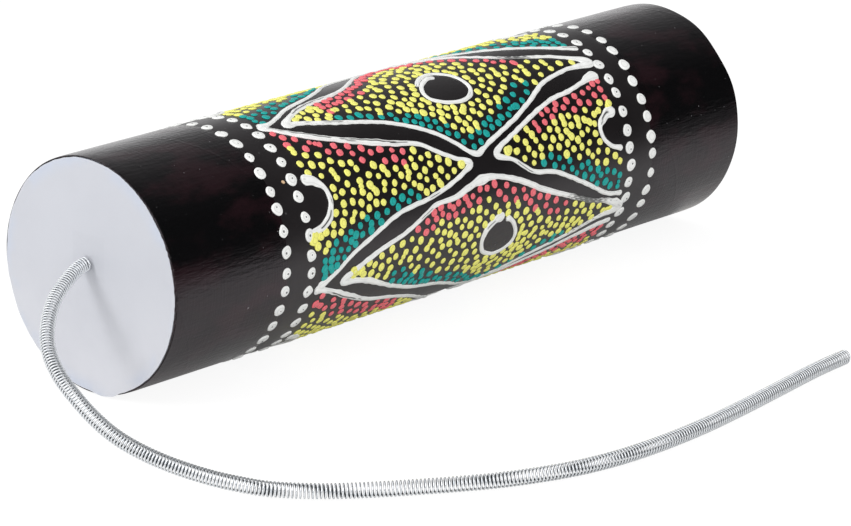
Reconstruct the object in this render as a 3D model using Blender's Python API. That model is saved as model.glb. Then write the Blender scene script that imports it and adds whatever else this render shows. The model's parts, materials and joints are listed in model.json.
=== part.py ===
"""Spring drum: a cardboard tube with a plastic head, and a long loose spring hooked through the head.

Metres, +Z up. The drum lies on its side along Y: the head looks to -Y and the open rear end to +Y.
The origin is under the middle of the drum, on the surface that it lies on.
"""

import math

import bmesh
import bpy
import numpy as np
from mathutils import Matrix, Vector

# Driving sizes of the drum
TUBE_R = 0.035
WALL = 0.004
LENGTH = 0.254  # from the head's rim to the open rear end
SIDES = 36  # with a flat underneath, so that the drum lies still
GAP = 0.0003
SHARP_DEGREES = 35  # edges sharper than this stay sharp

# Gloss bands at both ends, flush with the bare middle of the tube
BAND_T = 0.0004
FRONT_BAND_LENGTH = 0.045
REAR_BAND_LENGTH = 0.044
BAND_STEP = 0.0001  # from the head's rim plane back to the front band

# Head: a film disc glued on the tube's end, drawn out a little by the spring
FILM_T = 0.0004
DOME = 0.0012
GLUE_T = 0.0004
GLUE_WIDTH = 0.0026
DOME_RINGS = 6

# Spring, hooked through a hole a little above the middle of the head
WIRE_R = 0.0003
COIL_R = 0.0019  # to the middle of the wire
CURLS = 90
POINTS_PER_CURL = 8
OPENING_CURLS = 0.75  # from the straight tail to the full coil
ROUTE_STEPS = 24  # between two points of the route
ROOT_X = 0.0009
ROOT_ABOVE_AXIS = 0.0042
HOLE_SIDES = 12
LEG = 0.003  # the bent end behind the washer
BEND_R = 0.0008
BEND_STEPS = 4
TAIL = 0.0011  # straight wire in front of the head
CLEAR_HOLE_R = WIRE_R + GAP
OVER_FLOOR = 0.00005

# Washer and adhesive behind the head
WASHER_R = 0.0045
WASHER_T = 0.0008
BLOB_R = 0.004
BLOB_HEIGHT = 0.0026
WASHER_SIDES = 24
BLOB_SIDES = 24
BLOB_RINGS = 12
WASHER_GAP = 1.5 * GAP  # the film curves back towards its rim, and the washer stays clear of it

# Worked out from the sizes above
AXIS_Z = TUBE_R * math.cos(math.pi / SIDES)
REAR_Y = (LENGTH + DOME) / 2
RIM_Y = REAR_Y - LENGTH
REBATE_R = TUBE_R - BAND_T - GAP
FILM_R = REBATE_R
GLUE_Y = RIM_Y + FILM_T + GAP
TUBE_FRONT_Y = GLUE_Y + GLUE_T + GAP
BORE_R = TUBE_R - WALL
FRONT_BAND_END = RIM_Y + FRONT_BAND_LENGTH
REAR_BAND_START = REAR_Y - REAR_BAND_LENGTH
ROOT_Z = AXIS_Z + ROOT_ABOVE_AXIS
COIL_OUTER_R = COIL_R + WIRE_R
LYING_Z = COIL_OUTER_R + OVER_FLOOR
CUTTER_REACH = 5 * DOME

# The spring's route in millimetres from the head's rim plane and the floor: out of the head, down in a
# bow to the table, then over the table round the front of the drum and along its side.
LIFTED = [
    (1.0, -5.0, 38.5), (2.3, -10.0, 36.9), (5.4, -18.4, 33.2), (10.3, -25.7, 28.4), (16.8, -31.4, 23.5),
    (24.7, -34.9, 19.0), (33.0, -36.8, 15.1), (41.2, -37.9, 11.5), (49.5, -38.3, 8.5), (57.8, -37.9, 6.4),
    (66.1, -36.8, 4.8), (74.1, -35.3, 3.7), (82.0, -33.4, 2.9), (89.6, -31.2, 2.5),
]
LYING = [
    (96.8, -28.4), (104.6, -23.6), (112.2, -17.0), (119.3, -8.9), (126.0, -0.2), (132.4, 8.7), (138.4, 18.0),
    (143.5, 28.3), (147.8, 39.9), (150.6, 53.3), (151.8, 69.1), (151.6, 86.9), (149.9, 107.2), (147.3, 129.1),
    (144.6, 151.8), (143.9, 165.0),
]


def clear_scene():
    """Start from an empty scene."""
    for thing in list(bpy.data.objects):
        bpy.data.objects.remove(thing, do_unlink=True)


def material(name, rgb, roughness, metallic=0.0):
    """A plain Principled material."""
    made = bpy.data.materials.new(name)
    made.use_nodes = True
    shader = made.node_tree.nodes["Principled BSDF"]
    shader.inputs["Base Color"].default_value = (*rgb, 1.0)
    shader.inputs["Roughness"].default_value = roughness
    shader.inputs["Metallic"].default_value = metallic
    made.diffuse_color = (*rgb, 1.0)
    return made


def put(name, data, finish=None):
    """Link a mesh, a curve or an empty into the scene as one named object."""
    made = bpy.data.objects.new(name, data)
    bpy.context.collection.objects.link(made)
    if finish:
        data.materials.append(finish)
    return made


def hang(piece, carrier):
    """Let a piece follow its carrier, and leave it where it is."""
    piece.parent = carrier
    piece.matrix_parent_inverse = carrier.matrix_world.inverted()


def mesh_from(bm, name):
    """Finish a bmesh: faces out, round sides smooth, edges sharp."""
    bmesh.ops.recalc_face_normals(bm, faces=bm.faces)
    data = bpy.data.meshes.new(name)
    bm.to_mesh(data)
    bm.free()
    data.shade_smooth()
    data.set_sharp_from_angle(angle=math.radians(SHARP_DEGREES))
    return data


def turned(name, profile, finish, sides=SIDES, closed=True):
    """A solid turned about the drum's axis from a profile of (radius, y) corners.

    The first ring starts half a side from the bottom, which leaves a flat underneath. A profile that
    isn't closed starts and ends on the axis.
    """
    bm = bmesh.new()
    start = math.pi / sides
    corners = []
    for radius, y in profile:
        corners.append(bm.verts.new((radius * math.sin(start), y, -radius * math.cos(start))))
    pairs = list(zip(corners, corners[1:]))
    if closed:
        pairs.append((corners[-1], corners[0]))
    edges = [bm.edges.new(pair) for pair in pairs]
    bmesh.ops.spin(
        bm,
        geom=corners + edges,
        cent=(0, 0, 0),
        axis=(0, 1, 0),
        angle=2 * math.pi,
        steps=sides,
        use_merge=True,
    )
    bmesh.ops.remove_doubles(bm, verts=bm.verts, dist=1e-6)
    made = put(name, mesh_from(bm, name), finish)
    made.location = (0, 0, AXIS_Z)
    return made


def tube():
    """Spiral-wound cardboard tube, turned down at both ends for the bands."""
    profile = [
        (BORE_R, TUBE_FRONT_Y),
        (REBATE_R, TUBE_FRONT_Y),
        (REBATE_R, FRONT_BAND_END + GAP),
        (TUBE_R, FRONT_BAND_END + GAP),
        (TUBE_R, REAR_BAND_START - GAP),
        (REBATE_R, REAR_BAND_START - GAP),
        (REBATE_R, REAR_Y),
        (BORE_R, REAR_Y),
    ]
    turned("tube", profile, material("tube_card", (0.02, 0.019, 0.018), 0.7))


def band(name, start, end):
    """Thin gloss wrap round one end of the tube."""
    inner = TUBE_R - BAND_T
    profile = [(inner, start), (TUBE_R, start), (TUBE_R, end), (inner, end)]
    turned(name, profile, material(name + "_gloss", (0.004, 0.004, 0.005), 0.08))


def dome(radius):
    """How far the film stands out of its rim plane at a radius: a full cosine wave from rim to middle."""
    return DOME * (1 + math.cos(math.pi * radius / FILM_R)) / 2


def cut(target, cutter):
    """Take the cutter out of the target."""
    cutter.hide_render = True
    cutter.display_type = "WIRE"
    modifier = target.modifiers.new("cut", "BOOLEAN")
    modifier.operation = "DIFFERENCE"
    modifier.solver = "EXACT"
    modifier.object = cutter


def rod(name, radius, start, end, sides=HOLE_SIDES):
    """A round rod between two points."""
    start, end = Vector(start), Vector(end)
    turn = (end - start).to_track_quat("Z", "Y").to_matrix().to_4x4()
    bm = bmesh.new()
    bmesh.ops.create_cone(
        bm,
        cap_ends=True,
        segments=sides,
        radius1=radius,
        radius2=radius,
        depth=(end - start).length,
        matrix=Matrix.Translation((start + end) / 2) @ turn,
    )
    return put(name, mesh_from(bm, name))


def at_root(y, above=0.0):
    """The point at y on the line through the spring's hole, or above it."""
    return Vector((ROOT_X, y, ROOT_Z + above))


def drumhead():
    """Film disc with the spring's hole."""
    rings = [FILM_R * k / DOME_RINGS for k in range(DOME_RINGS + 1)]
    front = [(r, RIM_Y - dome(r)) for r in rings]
    back = [(r, RIM_Y + FILM_T - dome(r)) for r in reversed(rings)]
    film = turned("drumhead", front + back, material("film", (0.62, 0.65, 0.71), 0.4), closed=False)
    front_end, back_end = at_root(RIM_Y - CUTTER_REACH), at_root(RIM_Y + CUTTER_REACH)
    cut(film, rod("drumhead_hole_cutter", CLEAR_HOLE_R, front_end, back_end))


def glue_ring():
    """Bead of adhesive between the film's rim and the tube's end."""
    inner = FILM_R - GLUE_WIDTH
    profile = [(inner, GLUE_Y), (FILM_R, GLUE_Y), (FILM_R, GLUE_Y + GLUE_T), (inner, GLUE_Y + GLUE_T)]
    turned("glue_ring", profile, material("glue", (0.42, 0.5, 0.66), 0.3))


def film_back_at_root():
    """Where the film's back is at the hole."""
    return RIM_Y + FILM_T - dome(math.hypot(ROOT_X, ROOT_ABOVE_AXIS))


def washer_front():
    """The washer's front face."""
    return film_back_at_root() + WASHER_GAP


def leg_y():
    """The bent leg's middle, behind the washer."""
    return washer_front() + WASHER_T + GAP + WIRE_R


def washer(parent):
    """Washer that keeps the spring's hook from pulling through the film."""
    low = washer_front()
    high = low + WASHER_T
    disc = rod("retaining_washer", WASHER_R, at_root(low), at_root(high), sides=WASHER_SIDES)
    disc.data.materials.append(material("washer_card", (0.35, 0.33, 0.3), 0.6))
    hang(disc, parent)
    cut(disc, rod("washer_hole_cutter", CLEAR_HOLE_R, at_root(low - WASHER_T), at_root(high + WASHER_T)))


def hook_points():
    """The wire's end: down the leg, round the bend and out through the washer and the film."""
    points = [at_root(leg_y(), LEG)]
    for k in range(BEND_STEPS + 1):
        turn = math.pi / 2 * k / BEND_STEPS
        y = leg_y() - BEND_R * (1 - math.cos(turn))
        points.append(at_root(y, BEND_R * (1 - math.sin(turn))))
    points.append(at_root(film_front_at_root() - TAIL))
    return points


def film_front_at_root():
    """Where the film's front is at the hole."""
    return film_back_at_root() - FILM_T


def wire(name, points, radius, finish):
    """A round wire as a curve with filled ends, and a side for each sixty degrees."""
    data = bpy.data.curves.new(name, "CURVE")
    data.dimensions = "3D"
    data.bevel_depth = radius
    data.bevel_resolution = 1
    data.use_fill_caps = True
    spline = data.splines.new("POLY")
    spline.points.add(len(points) - 1)
    for point, place in zip(spline.points, points):
        point.co = (*place, 1.0)
    return put(name, data, finish)


def glue_blob(parent):
    """Half a drop of adhesive over the hook, with the wire's channel in its flat side."""
    back = washer_front() + WASHER_T + GAP
    bm = bmesh.new()
    bmesh.ops.create_uvsphere(bm, u_segments=BLOB_SIDES, v_segments=BLOB_RINGS, radius=1.0)
    size = Matrix.Diagonal((BLOB_R, BLOB_R, BLOB_HEIGHT, 1.0))
    place = Matrix.Translation(at_root(back)) @ Matrix.Rotation(-math.pi / 2, 4, "X") @ size
    bmesh.ops.transform(bm, matrix=place, verts=bm.verts)
    everything = bm.verts[:] + bm.edges[:] + bm.faces[:]
    bmesh.ops.bisect_plane(bm, geom=everything, plane_co=(0, back, 0), plane_no=(0, 1, 0), clear_inner=True)
    bmesh.ops.contextual_create(bm, geom=[edge for edge in bm.edges if edge.is_boundary])
    finish = material("hot_glue", (0.7, 0.66, 0.55), 0.35)
    drop = put("glue_blob", mesh_from(bm, "glue_blob"), finish)
    hang(drop, parent)
    low, high = at_root(leg_y(), -CLEAR_HOLE_R), at_root(leg_y(), LEG + GAP)
    cut(drop, rod("blob_channel_cutter", CLEAR_HOLE_R, low, high))


def smooth_through(points, steps=ROUTE_STEPS):
    """A Catmull-Rom curve through the points, as a fine polyline with even steps."""
    points = np.array(points)
    ends = [2 * points[0] - points[1], *points, 2 * points[-1] - points[-2]]
    fine = []
    for before, start, end, after in zip(ends, ends[1:], ends[2:], ends[3:]):
        t = np.linspace(0, 1, steps, endpoint=False)[:, None]
        line = 2 * start + (end - before) * t
        line = line + (2 * before - 5 * start + 4 * end - after) * t**2
        line = line + (3 * start - before - 3 * end + after) * t**3
        fine.append(line / 2)
    return np.concatenate(fine + [points[-1:]])


def route():
    """The spring's centreline from the head to its free end."""
    start = (ROOT_X, film_front_at_root() - TAIL, ROOT_Z)
    lifted = [(x / 1000, RIM_Y + y / 1000, z / 1000) for x, y, z in LIFTED]
    lying = [(x / 1000, RIM_Y + y / 1000, LYING_Z) for x, y in LYING]
    return smooth_through([start, *lifted, *lying])


def even(points, count):
    """Points at equal distances along a polyline, and its length."""
    along = np.concatenate([[0], np.cumsum(np.linalg.norm(np.diff(points, axis=0), axis=1))])
    want = np.linspace(0, along[-1], count)
    return np.stack([np.interp(want, along, points[:, k]) for k in range(3)], axis=1), along[-1]


def coil_points():
    """The wire's middle along the coil: a helix round the route, that grows out of the straight tail.

    Each ring's axes are carried along the route without twist.
    """
    count = CURLS * POINTS_PER_CURL + 1
    centre, length = even(route(), count)
    ahead = np.gradient(centre, axis=0)
    ahead /= np.linalg.norm(ahead, axis=1)[:, None]
    side = np.array([0.0, 0.0, 1.0])
    points = []
    for k in range(count):
        side = side - ahead[k] * (side @ ahead[k])
        side = side / np.linalg.norm(side)
        across = np.cross(ahead[k], side)
        turn = 2 * math.pi * k / POINTS_PER_CURL
        radius = COIL_R * min(1.0, k / (OPENING_CURLS * POINTS_PER_CURL))
        points.append(centre[k] + radius * (side * math.sin(turn) + across * math.cos(turn)))
    return points, length


def least_gap(points, skip=POINTS_PER_CURL - 2):
    """The least free space between two stretches of the wire that aren't next to each other."""
    points = np.array(points)
    least = math.inf
    for k in range(len(points) - skip):
        least = min(least, np.linalg.norm(points[k + skip:] - points[k], axis=1).min())
    return least - 2 * WIRE_R


def spring(parent):
    """The whole spring: hook, straight tail and coil, as one unbroken wire."""
    coil, length = coil_points()
    points = hook_points() + [Vector(p) for p in coil[1:]]
    made = wire("spring", points, WIRE_R, material("spring_steel", (0.55, 0.55, 0.55), 0.3, 1.0))
    hang(made, parent)
    print(f"spring: {length * 1000:.1f} mm long, least gap {least_gap(coil) * 1000:.2f} mm")


def axis_empty(name):
    """Empty in the spring's hole: the head pumps along its Y, and the spring swings about its Z."""
    place = put(name, None)
    place.location = at_root(film_front_at_root())
    bpy.context.view_layer.update()
    return place


def main():
    clear_scene()
    tube()
    band("front_band", RIM_Y + BAND_STEP, FRONT_BAND_END)
    band("rear_band", REAR_BAND_START, REAR_Y)
    drumhead()
    glue_ring()
    anchor = axis_empty("anchor_axis")
    washer(anchor)
    glue_blob(anchor)
    spring(axis_empty("spring_axis"))


main()
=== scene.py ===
"""Looks of the spring drum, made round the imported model.

The drum lies along Y: its head looks to -Y, its open rear end to +Y, and the spring lies on its +X side.
A place on the painted tube is (along, round): millimetres from the head's rim plane, and degrees from the
top towards +X, or millimetres of arc once the tube is thought of as rolled out flat. Meshes are in metres.
"""

import json
import logging
import math
from dataclasses import dataclass, field, replace
from enum import Enum

import bpy
import numpy as np
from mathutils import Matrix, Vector


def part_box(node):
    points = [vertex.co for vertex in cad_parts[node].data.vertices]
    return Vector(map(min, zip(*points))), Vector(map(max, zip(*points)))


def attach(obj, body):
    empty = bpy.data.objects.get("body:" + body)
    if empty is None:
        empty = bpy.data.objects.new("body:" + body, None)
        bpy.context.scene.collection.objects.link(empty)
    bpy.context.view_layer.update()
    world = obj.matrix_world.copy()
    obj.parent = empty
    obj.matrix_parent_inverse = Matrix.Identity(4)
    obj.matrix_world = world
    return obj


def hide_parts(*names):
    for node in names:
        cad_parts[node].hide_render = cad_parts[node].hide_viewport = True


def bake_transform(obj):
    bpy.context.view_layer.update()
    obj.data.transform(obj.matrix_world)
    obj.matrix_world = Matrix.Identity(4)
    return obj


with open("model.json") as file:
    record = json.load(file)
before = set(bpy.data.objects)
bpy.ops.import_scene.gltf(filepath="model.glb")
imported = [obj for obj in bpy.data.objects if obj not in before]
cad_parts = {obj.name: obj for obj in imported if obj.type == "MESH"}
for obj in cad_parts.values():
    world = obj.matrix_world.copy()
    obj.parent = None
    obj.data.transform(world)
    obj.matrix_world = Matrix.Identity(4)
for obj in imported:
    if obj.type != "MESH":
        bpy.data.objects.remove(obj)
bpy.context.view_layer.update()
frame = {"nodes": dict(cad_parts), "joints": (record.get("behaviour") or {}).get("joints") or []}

Array = np.ndarray
Socket = bpy.types.NodeSocket
Colour = tuple[float, float, float]
Value = Socket | float | tuple[float, ...]
LOG = logging.getLogger("spring_drum")
MM = 0.001
STRIP = 54.767  # millimetres along the drum from seam to seam of the strips that the tube is wound from


def grey(level: float) -> Colour:
    """The same level in all three channels."""
    return (level, level, level)


def linear(red: float, green: float, blue: float) -> Colour:
    """Turn a screen colour of 0 to 255 into linear light.

    Args:
        red, green, blue: The screen colour's channels.

    Returns:
        The colour as shaders take it: the 2.4 power curve of sRGB, with its straight start.
    """
    screen = np.array([red, green, blue]) / 255
    light = np.where(screen <= 0.04045, screen / 12.92, ((screen + 0.055) / 1.055) ** 2.4)
    return tuple(float(channel) for channel in light)


def wobble(along: Array, length: float, waves: range, seed: int) -> Array:
    """Smooth irregularity of about -1 to 1 that repeats after a length.

    The sum of sine waves with a whole number of periods in the length, each with a seeded strength
    and start, divided by the square root of how many there are.

    Args:
        along: Where the irregularity is wanted.
        length: The distance after which it repeats.
        waves: The numbers of periods in that length.
        seed: Start of the random draws.

    Returns:
        One value for each place.
    """
    rng = np.random.default_rng(seed)
    counts = np.array(waves)
    starts = rng.uniform(0, 2 * math.pi, len(counts))
    strengths = rng.uniform(0.5, 1.3, len(counts))
    angles = 2 * math.pi * np.asarray(along)[..., None] * counts / length + starts
    return (np.sin(angles) * strengths).sum(axis=-1) / math.sqrt(len(counts))


def smoothstep(value: Array) -> Array:
    """Rise from 0 to 1 with level ends: 3 v squared less 2 v cubed, held outside 0 to 1."""
    held = np.clip(value, 0, 1)
    return held * held * (3 - 2 * held)


def bell(off: Array, reach: float, power: int = 2) -> Array:
    """Bell curve: 1 in the middle, and the exponential of minus (off / reach) to the power beside it."""
    return np.exp(-((off / reach) ** power))


def turns_of(count: int) -> Array:
    """Angles of equal steps round a circle, as a column."""
    return (np.arange(count) * 2 * math.pi / count)[:, None]


def lengths_along(line: Array) -> Array:
    """Distance of each point of a polyline from its start, measured along it."""
    return np.concatenate([[0], np.cumsum(np.linalg.norm(np.diff(line, axis=0), axis=1))])


def even(line: Array, step: float) -> Array:
    """Lay points at equal distances along a polyline.

    Args:
        line: The polyline's points, in any number of dimensions.
        step: The distance wanted between points.

    Returns:
        Points from its start to its end.
    """
    along = lengths_along(line)
    wanted = np.linspace(0, along[-1], max(8, round(along[-1] / step)) + 1)
    return np.stack([np.interp(wanted, along, line[:, axis]) for axis in range(line.shape[1])], axis=1)


def smooth_line(points: Array, step: float, closed: bool = False) -> Array:
    """Draw a smooth line through points.

    Each stretch is a cubic from point to point. Its slope at a point is that of the parabola through
    the point and its two neighbours, over knots spaced by the square root of the chords.

    Args:
        points: The points to run through.
        step: Distance between the points of the result.
        closed: Whether the line ends where it starts.

    Returns:
        Evenly spaced points; a closed line doesn't repeat its first point.
    """
    points = np.asarray(points, float)
    before = points[-1:] if closed else 2 * points[:1] - points[1:2]
    after = points[:2] if closed else 2 * points[-1:] - points[-2:-1]
    padded = np.concatenate([before, points, after])
    chords = np.diff(padded, axis=0)
    knots = np.sqrt(np.linalg.norm(chords, axis=1))[:, None]
    slopes = chords / knots
    tangents = (slopes[:-1] * knots[1:] + slopes[1:] * knots[:-1]) / (knots[:-1] + knots[1:])
    start, end = padded[1:-2], padded[2:-1]
    leaving, arriving = tangents[:-1] * knots[1:-1], tangents[1:] * knots[1:-1]
    t = np.linspace(0, 1, 24, endpoint=False)[:, None, None]
    line = (2 * t**3 - 3 * t**2 + 1) * start + (t**3 - 2 * t**2 + t) * leaving
    line = line + (3 * t**2 - 2 * t**3) * end + (t**3 - t**2) * arriving
    line = line.transpose(1, 0, 2).reshape(-1, points.shape[1])
    line = np.concatenate([line, points[:1] if closed else points[-1:]])
    return even(line, step)[:-1] if closed else even(line, step)


def distance_to(places: Array, line: Array, closed: bool = False) -> Array:
    """Distance of flat places from a polyline.

    Args:
        places: The places, (n, 2).
        line: The polyline's points, (m, 2).
        closed: Whether its last point joins its first.

    Returns:
        The distance to the nearest stretch, (n,).
    """
    start = line if closed else line[:-1]
    run = (np.roll(line, -1, axis=0) - line) if closed else np.diff(line, axis=0)
    offset = places[:, None] - start
    share = np.clip((offset * run).sum(-1) / (run * run).sum(-1).clip(1e-12), 0, 1)
    return np.linalg.norm(offset - share[..., None] * run, axis=-1).min(axis=1)


def inside(places: Array, outline: Array) -> Array:
    """Whether flat places lie in a closed outline.

    A ray from such a place along the first axis crosses the outline an odd number of times.

    Args:
        places: The places, (n, 2).
        outline: The outline's points, (m, 2).

    Returns:
        True or False for each place.
    """
    start, end = outline, np.roll(outline, -1, axis=0)
    rise = end[:, 1] - start[:, 1]
    crosses = (start[:, 1] > places[:, 1:2]) != (end[:, 1] > places[:, 1:2])
    share = (places[:, 1:2] - start[:, 1]) / np.where(rise == 0, 1, rise)
    ahead = places[:, 0:1] < start[:, 0] + share * (end[:, 0] - start[:, 0])
    return (crosses & ahead).sum(axis=1) % 2 == 1


def grid_quads(rows: int, columns: int, wrap_rows: bool = False, wrap_columns: bool = False) -> Array:
    """Corner numbers of a grid's faces.

    Args:
        rows, columns: How many points the grid has each way.
        wrap_rows, wrap_columns: Whether the last line of points joins the first.

    Returns:
        The four corners of each face, (m, 4).
    """
    row = np.arange(rows if wrap_rows else rows - 1)[:, None]
    column = np.arange(columns if wrap_columns else columns - 1)
    next_row, next_column = (row + 1) % rows, (column + 1) % columns
    corners = (
        row * columns + column,
        row * columns + next_column,
        next_row * columns + next_column,
        next_row * columns + column,
    )
    return np.stack(np.broadcast_arrays(*corners), axis=-1).reshape(-1, 4)


def fan(ring: Array, hub: int) -> Array:
    """Triangles from each side of a closed ring of points to a hub."""
    return np.stack([ring, np.roll(ring, -1), np.full(len(ring), hub)], axis=-1)


@dataclass
class Shell:
    """Points, faces and per-point values of a mesh, as whole arrays."""

    points: Array
    faces: list[Array]
    values: dict[str, Array] = field(default_factory=dict)

    @staticmethod
    def joined(shells: list["Shell"]) -> "Shell":
        """Put several shells into one, which keeps them as separate bodies."""
        starts = np.cumsum([0] + [len(shell.points) for shell in shells[:-1]])
        faces = [part + start for shell, start in zip(shells, starts) for part in shell.faces]
        values = {name: np.concatenate([shell.values[name] for shell in shells]) for name in shells[0].values}
        return Shell(np.concatenate([shell.points for shell in shells]), faces, values)

    def volume(self) -> float:
        """Signed volume: a sixth of each triangle's triple product, positive if the faces look out."""
        points = self.points - self.points.mean(axis=0)
        total = 0.0
        for part in self.faces:
            for second in range(1, part.shape[1] - 1):
                a, b, c = points[part[:, 0]], points[part[:, second]], points[part[:, second + 1]]
                total += float((a * np.cross(b, c)).sum()) / 6
        return total

    def piece(self, name: str, finish: bpy.types.Material, sharp: float | None = None) -> bpy.types.Object:
        """Make the mesh object, with its faces turned out.

        Args:
            name: The piece's name.
            finish: Its material.
            sharp: Angle in degrees from which an edge is drawn sharp, if any.

        Returns:
            The new object, linked into the scene.
        """
        faces = self.faces if self.volume() >= 0 else [part[:, ::-1] for part in self.faces]
        corners = np.concatenate([part.ravel() for part in faces])
        sizes = np.concatenate([np.full(len(part), part.shape[1]) for part in faces])
        mesh = bpy.data.meshes.new(name)
        mesh.vertices.add(len(self.points))
        mesh.vertices.foreach_set("co", self.points.astype(np.float32).ravel())
        mesh.loops.add(len(corners))
        mesh.loops.foreach_set("vertex_index", corners.astype(np.int32))
        mesh.polygons.add(len(sizes))
        mesh.polygons.foreach_set("loop_start", (np.cumsum(sizes) - sizes).astype(np.int32))
        mesh.update(calc_edges=True)
        for key, values in self.values.items():
            mesh.attributes.new(key, "FLOAT", "POINT").data.foreach_set("value", values.astype(np.float32))
        mesh.shade_smooth()
        if sharp is not None:
            mesh.set_sharp_from_angle(angle=math.radians(sharp))
        mesh.materials.append(finish)
        made = bpy.data.objects.new(name, mesh)
        bpy.context.scene.collection.objects.link(made)
        LOG.info("%s: %d faces", name, len(sizes))
        return made


@dataclass(frozen=True)
class DrumPlaces:
    """Where the drum's surfaces are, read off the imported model."""

    rim_y: float
    rear_y: float
    axis_z: float
    radius: float

    BAND_LIP = 0.0001  # the front band starts this far behind the rim plane

    @classmethod
    def read(cls) -> "DrumPlaces":
        """Take the places from the boxes of the two gloss bands."""
        rear_low, rear_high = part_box("rear_band")
        front_low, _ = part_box("front_band")
        axis_z, radius = (rear_low.z + rear_high.z) / 2, (rear_high.z - rear_low.z) / 2
        return cls(front_low.y - cls.BAND_LIP, rear_high.y, axis_z, radius)

    @property
    def length(self) -> float:
        """Length of the tube in millimetres."""
        return (self.rear_y - self.rim_y) / MM

    @property
    def girth(self) -> float:
        """Distance round the tube in millimetres."""
        return 2 * math.pi * self.radius / MM

    def flat(self, places: Array) -> Array:
        """Turn places with degrees round the tube into places with millimetres of arc."""
        return np.asarray(places, float) * (1.0, self.girth / 360)

    def wrap(self, along: Array, arc: Array, height: Array) -> Array:
        """Roll flat places up onto the tube.

        Args:
            along: Millimetres from the rim plane.
            arc: Millimetres of arc from the top towards +X.
            height: Millimetres above the tube's surface.

        Returns:
            Points in metres: the sine and cosine of the angle, times the reach from the axis.
        """
        angle = arc * MM / self.radius
        reach = self.radius + height * MM
        across, above = reach * np.sin(angle), self.axis_z + reach * np.cos(angle)
        return np.stack([across, self.rim_y + along * MM, above], -1)

    def turned(self, radius: Array, along: Array, count: int) -> Shell:
        """Carry a closed profile round the drum's axis.

        Args:
            radius: Millimetres from the axis, (count, stations) or (stations,).
            along: Millimetres from the rim plane, of the same shape or (stations,).
            count: Steps round the axis.

        Returns:
            A ring-shaped shell, closed both ways.
        """
        angle = turns_of(count)
        radius, along = np.broadcast_arrays(radius * MM, along * MM + 0 * angle)
        across, above = radius * np.sin(angle), self.axis_z + radius * np.cos(angle)
        points = np.stack([across, self.rim_y + along, above], -1)
        return Shell(points.reshape(-1, 3), [grid_quads(count, radius.shape[1], True, True)])


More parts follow.
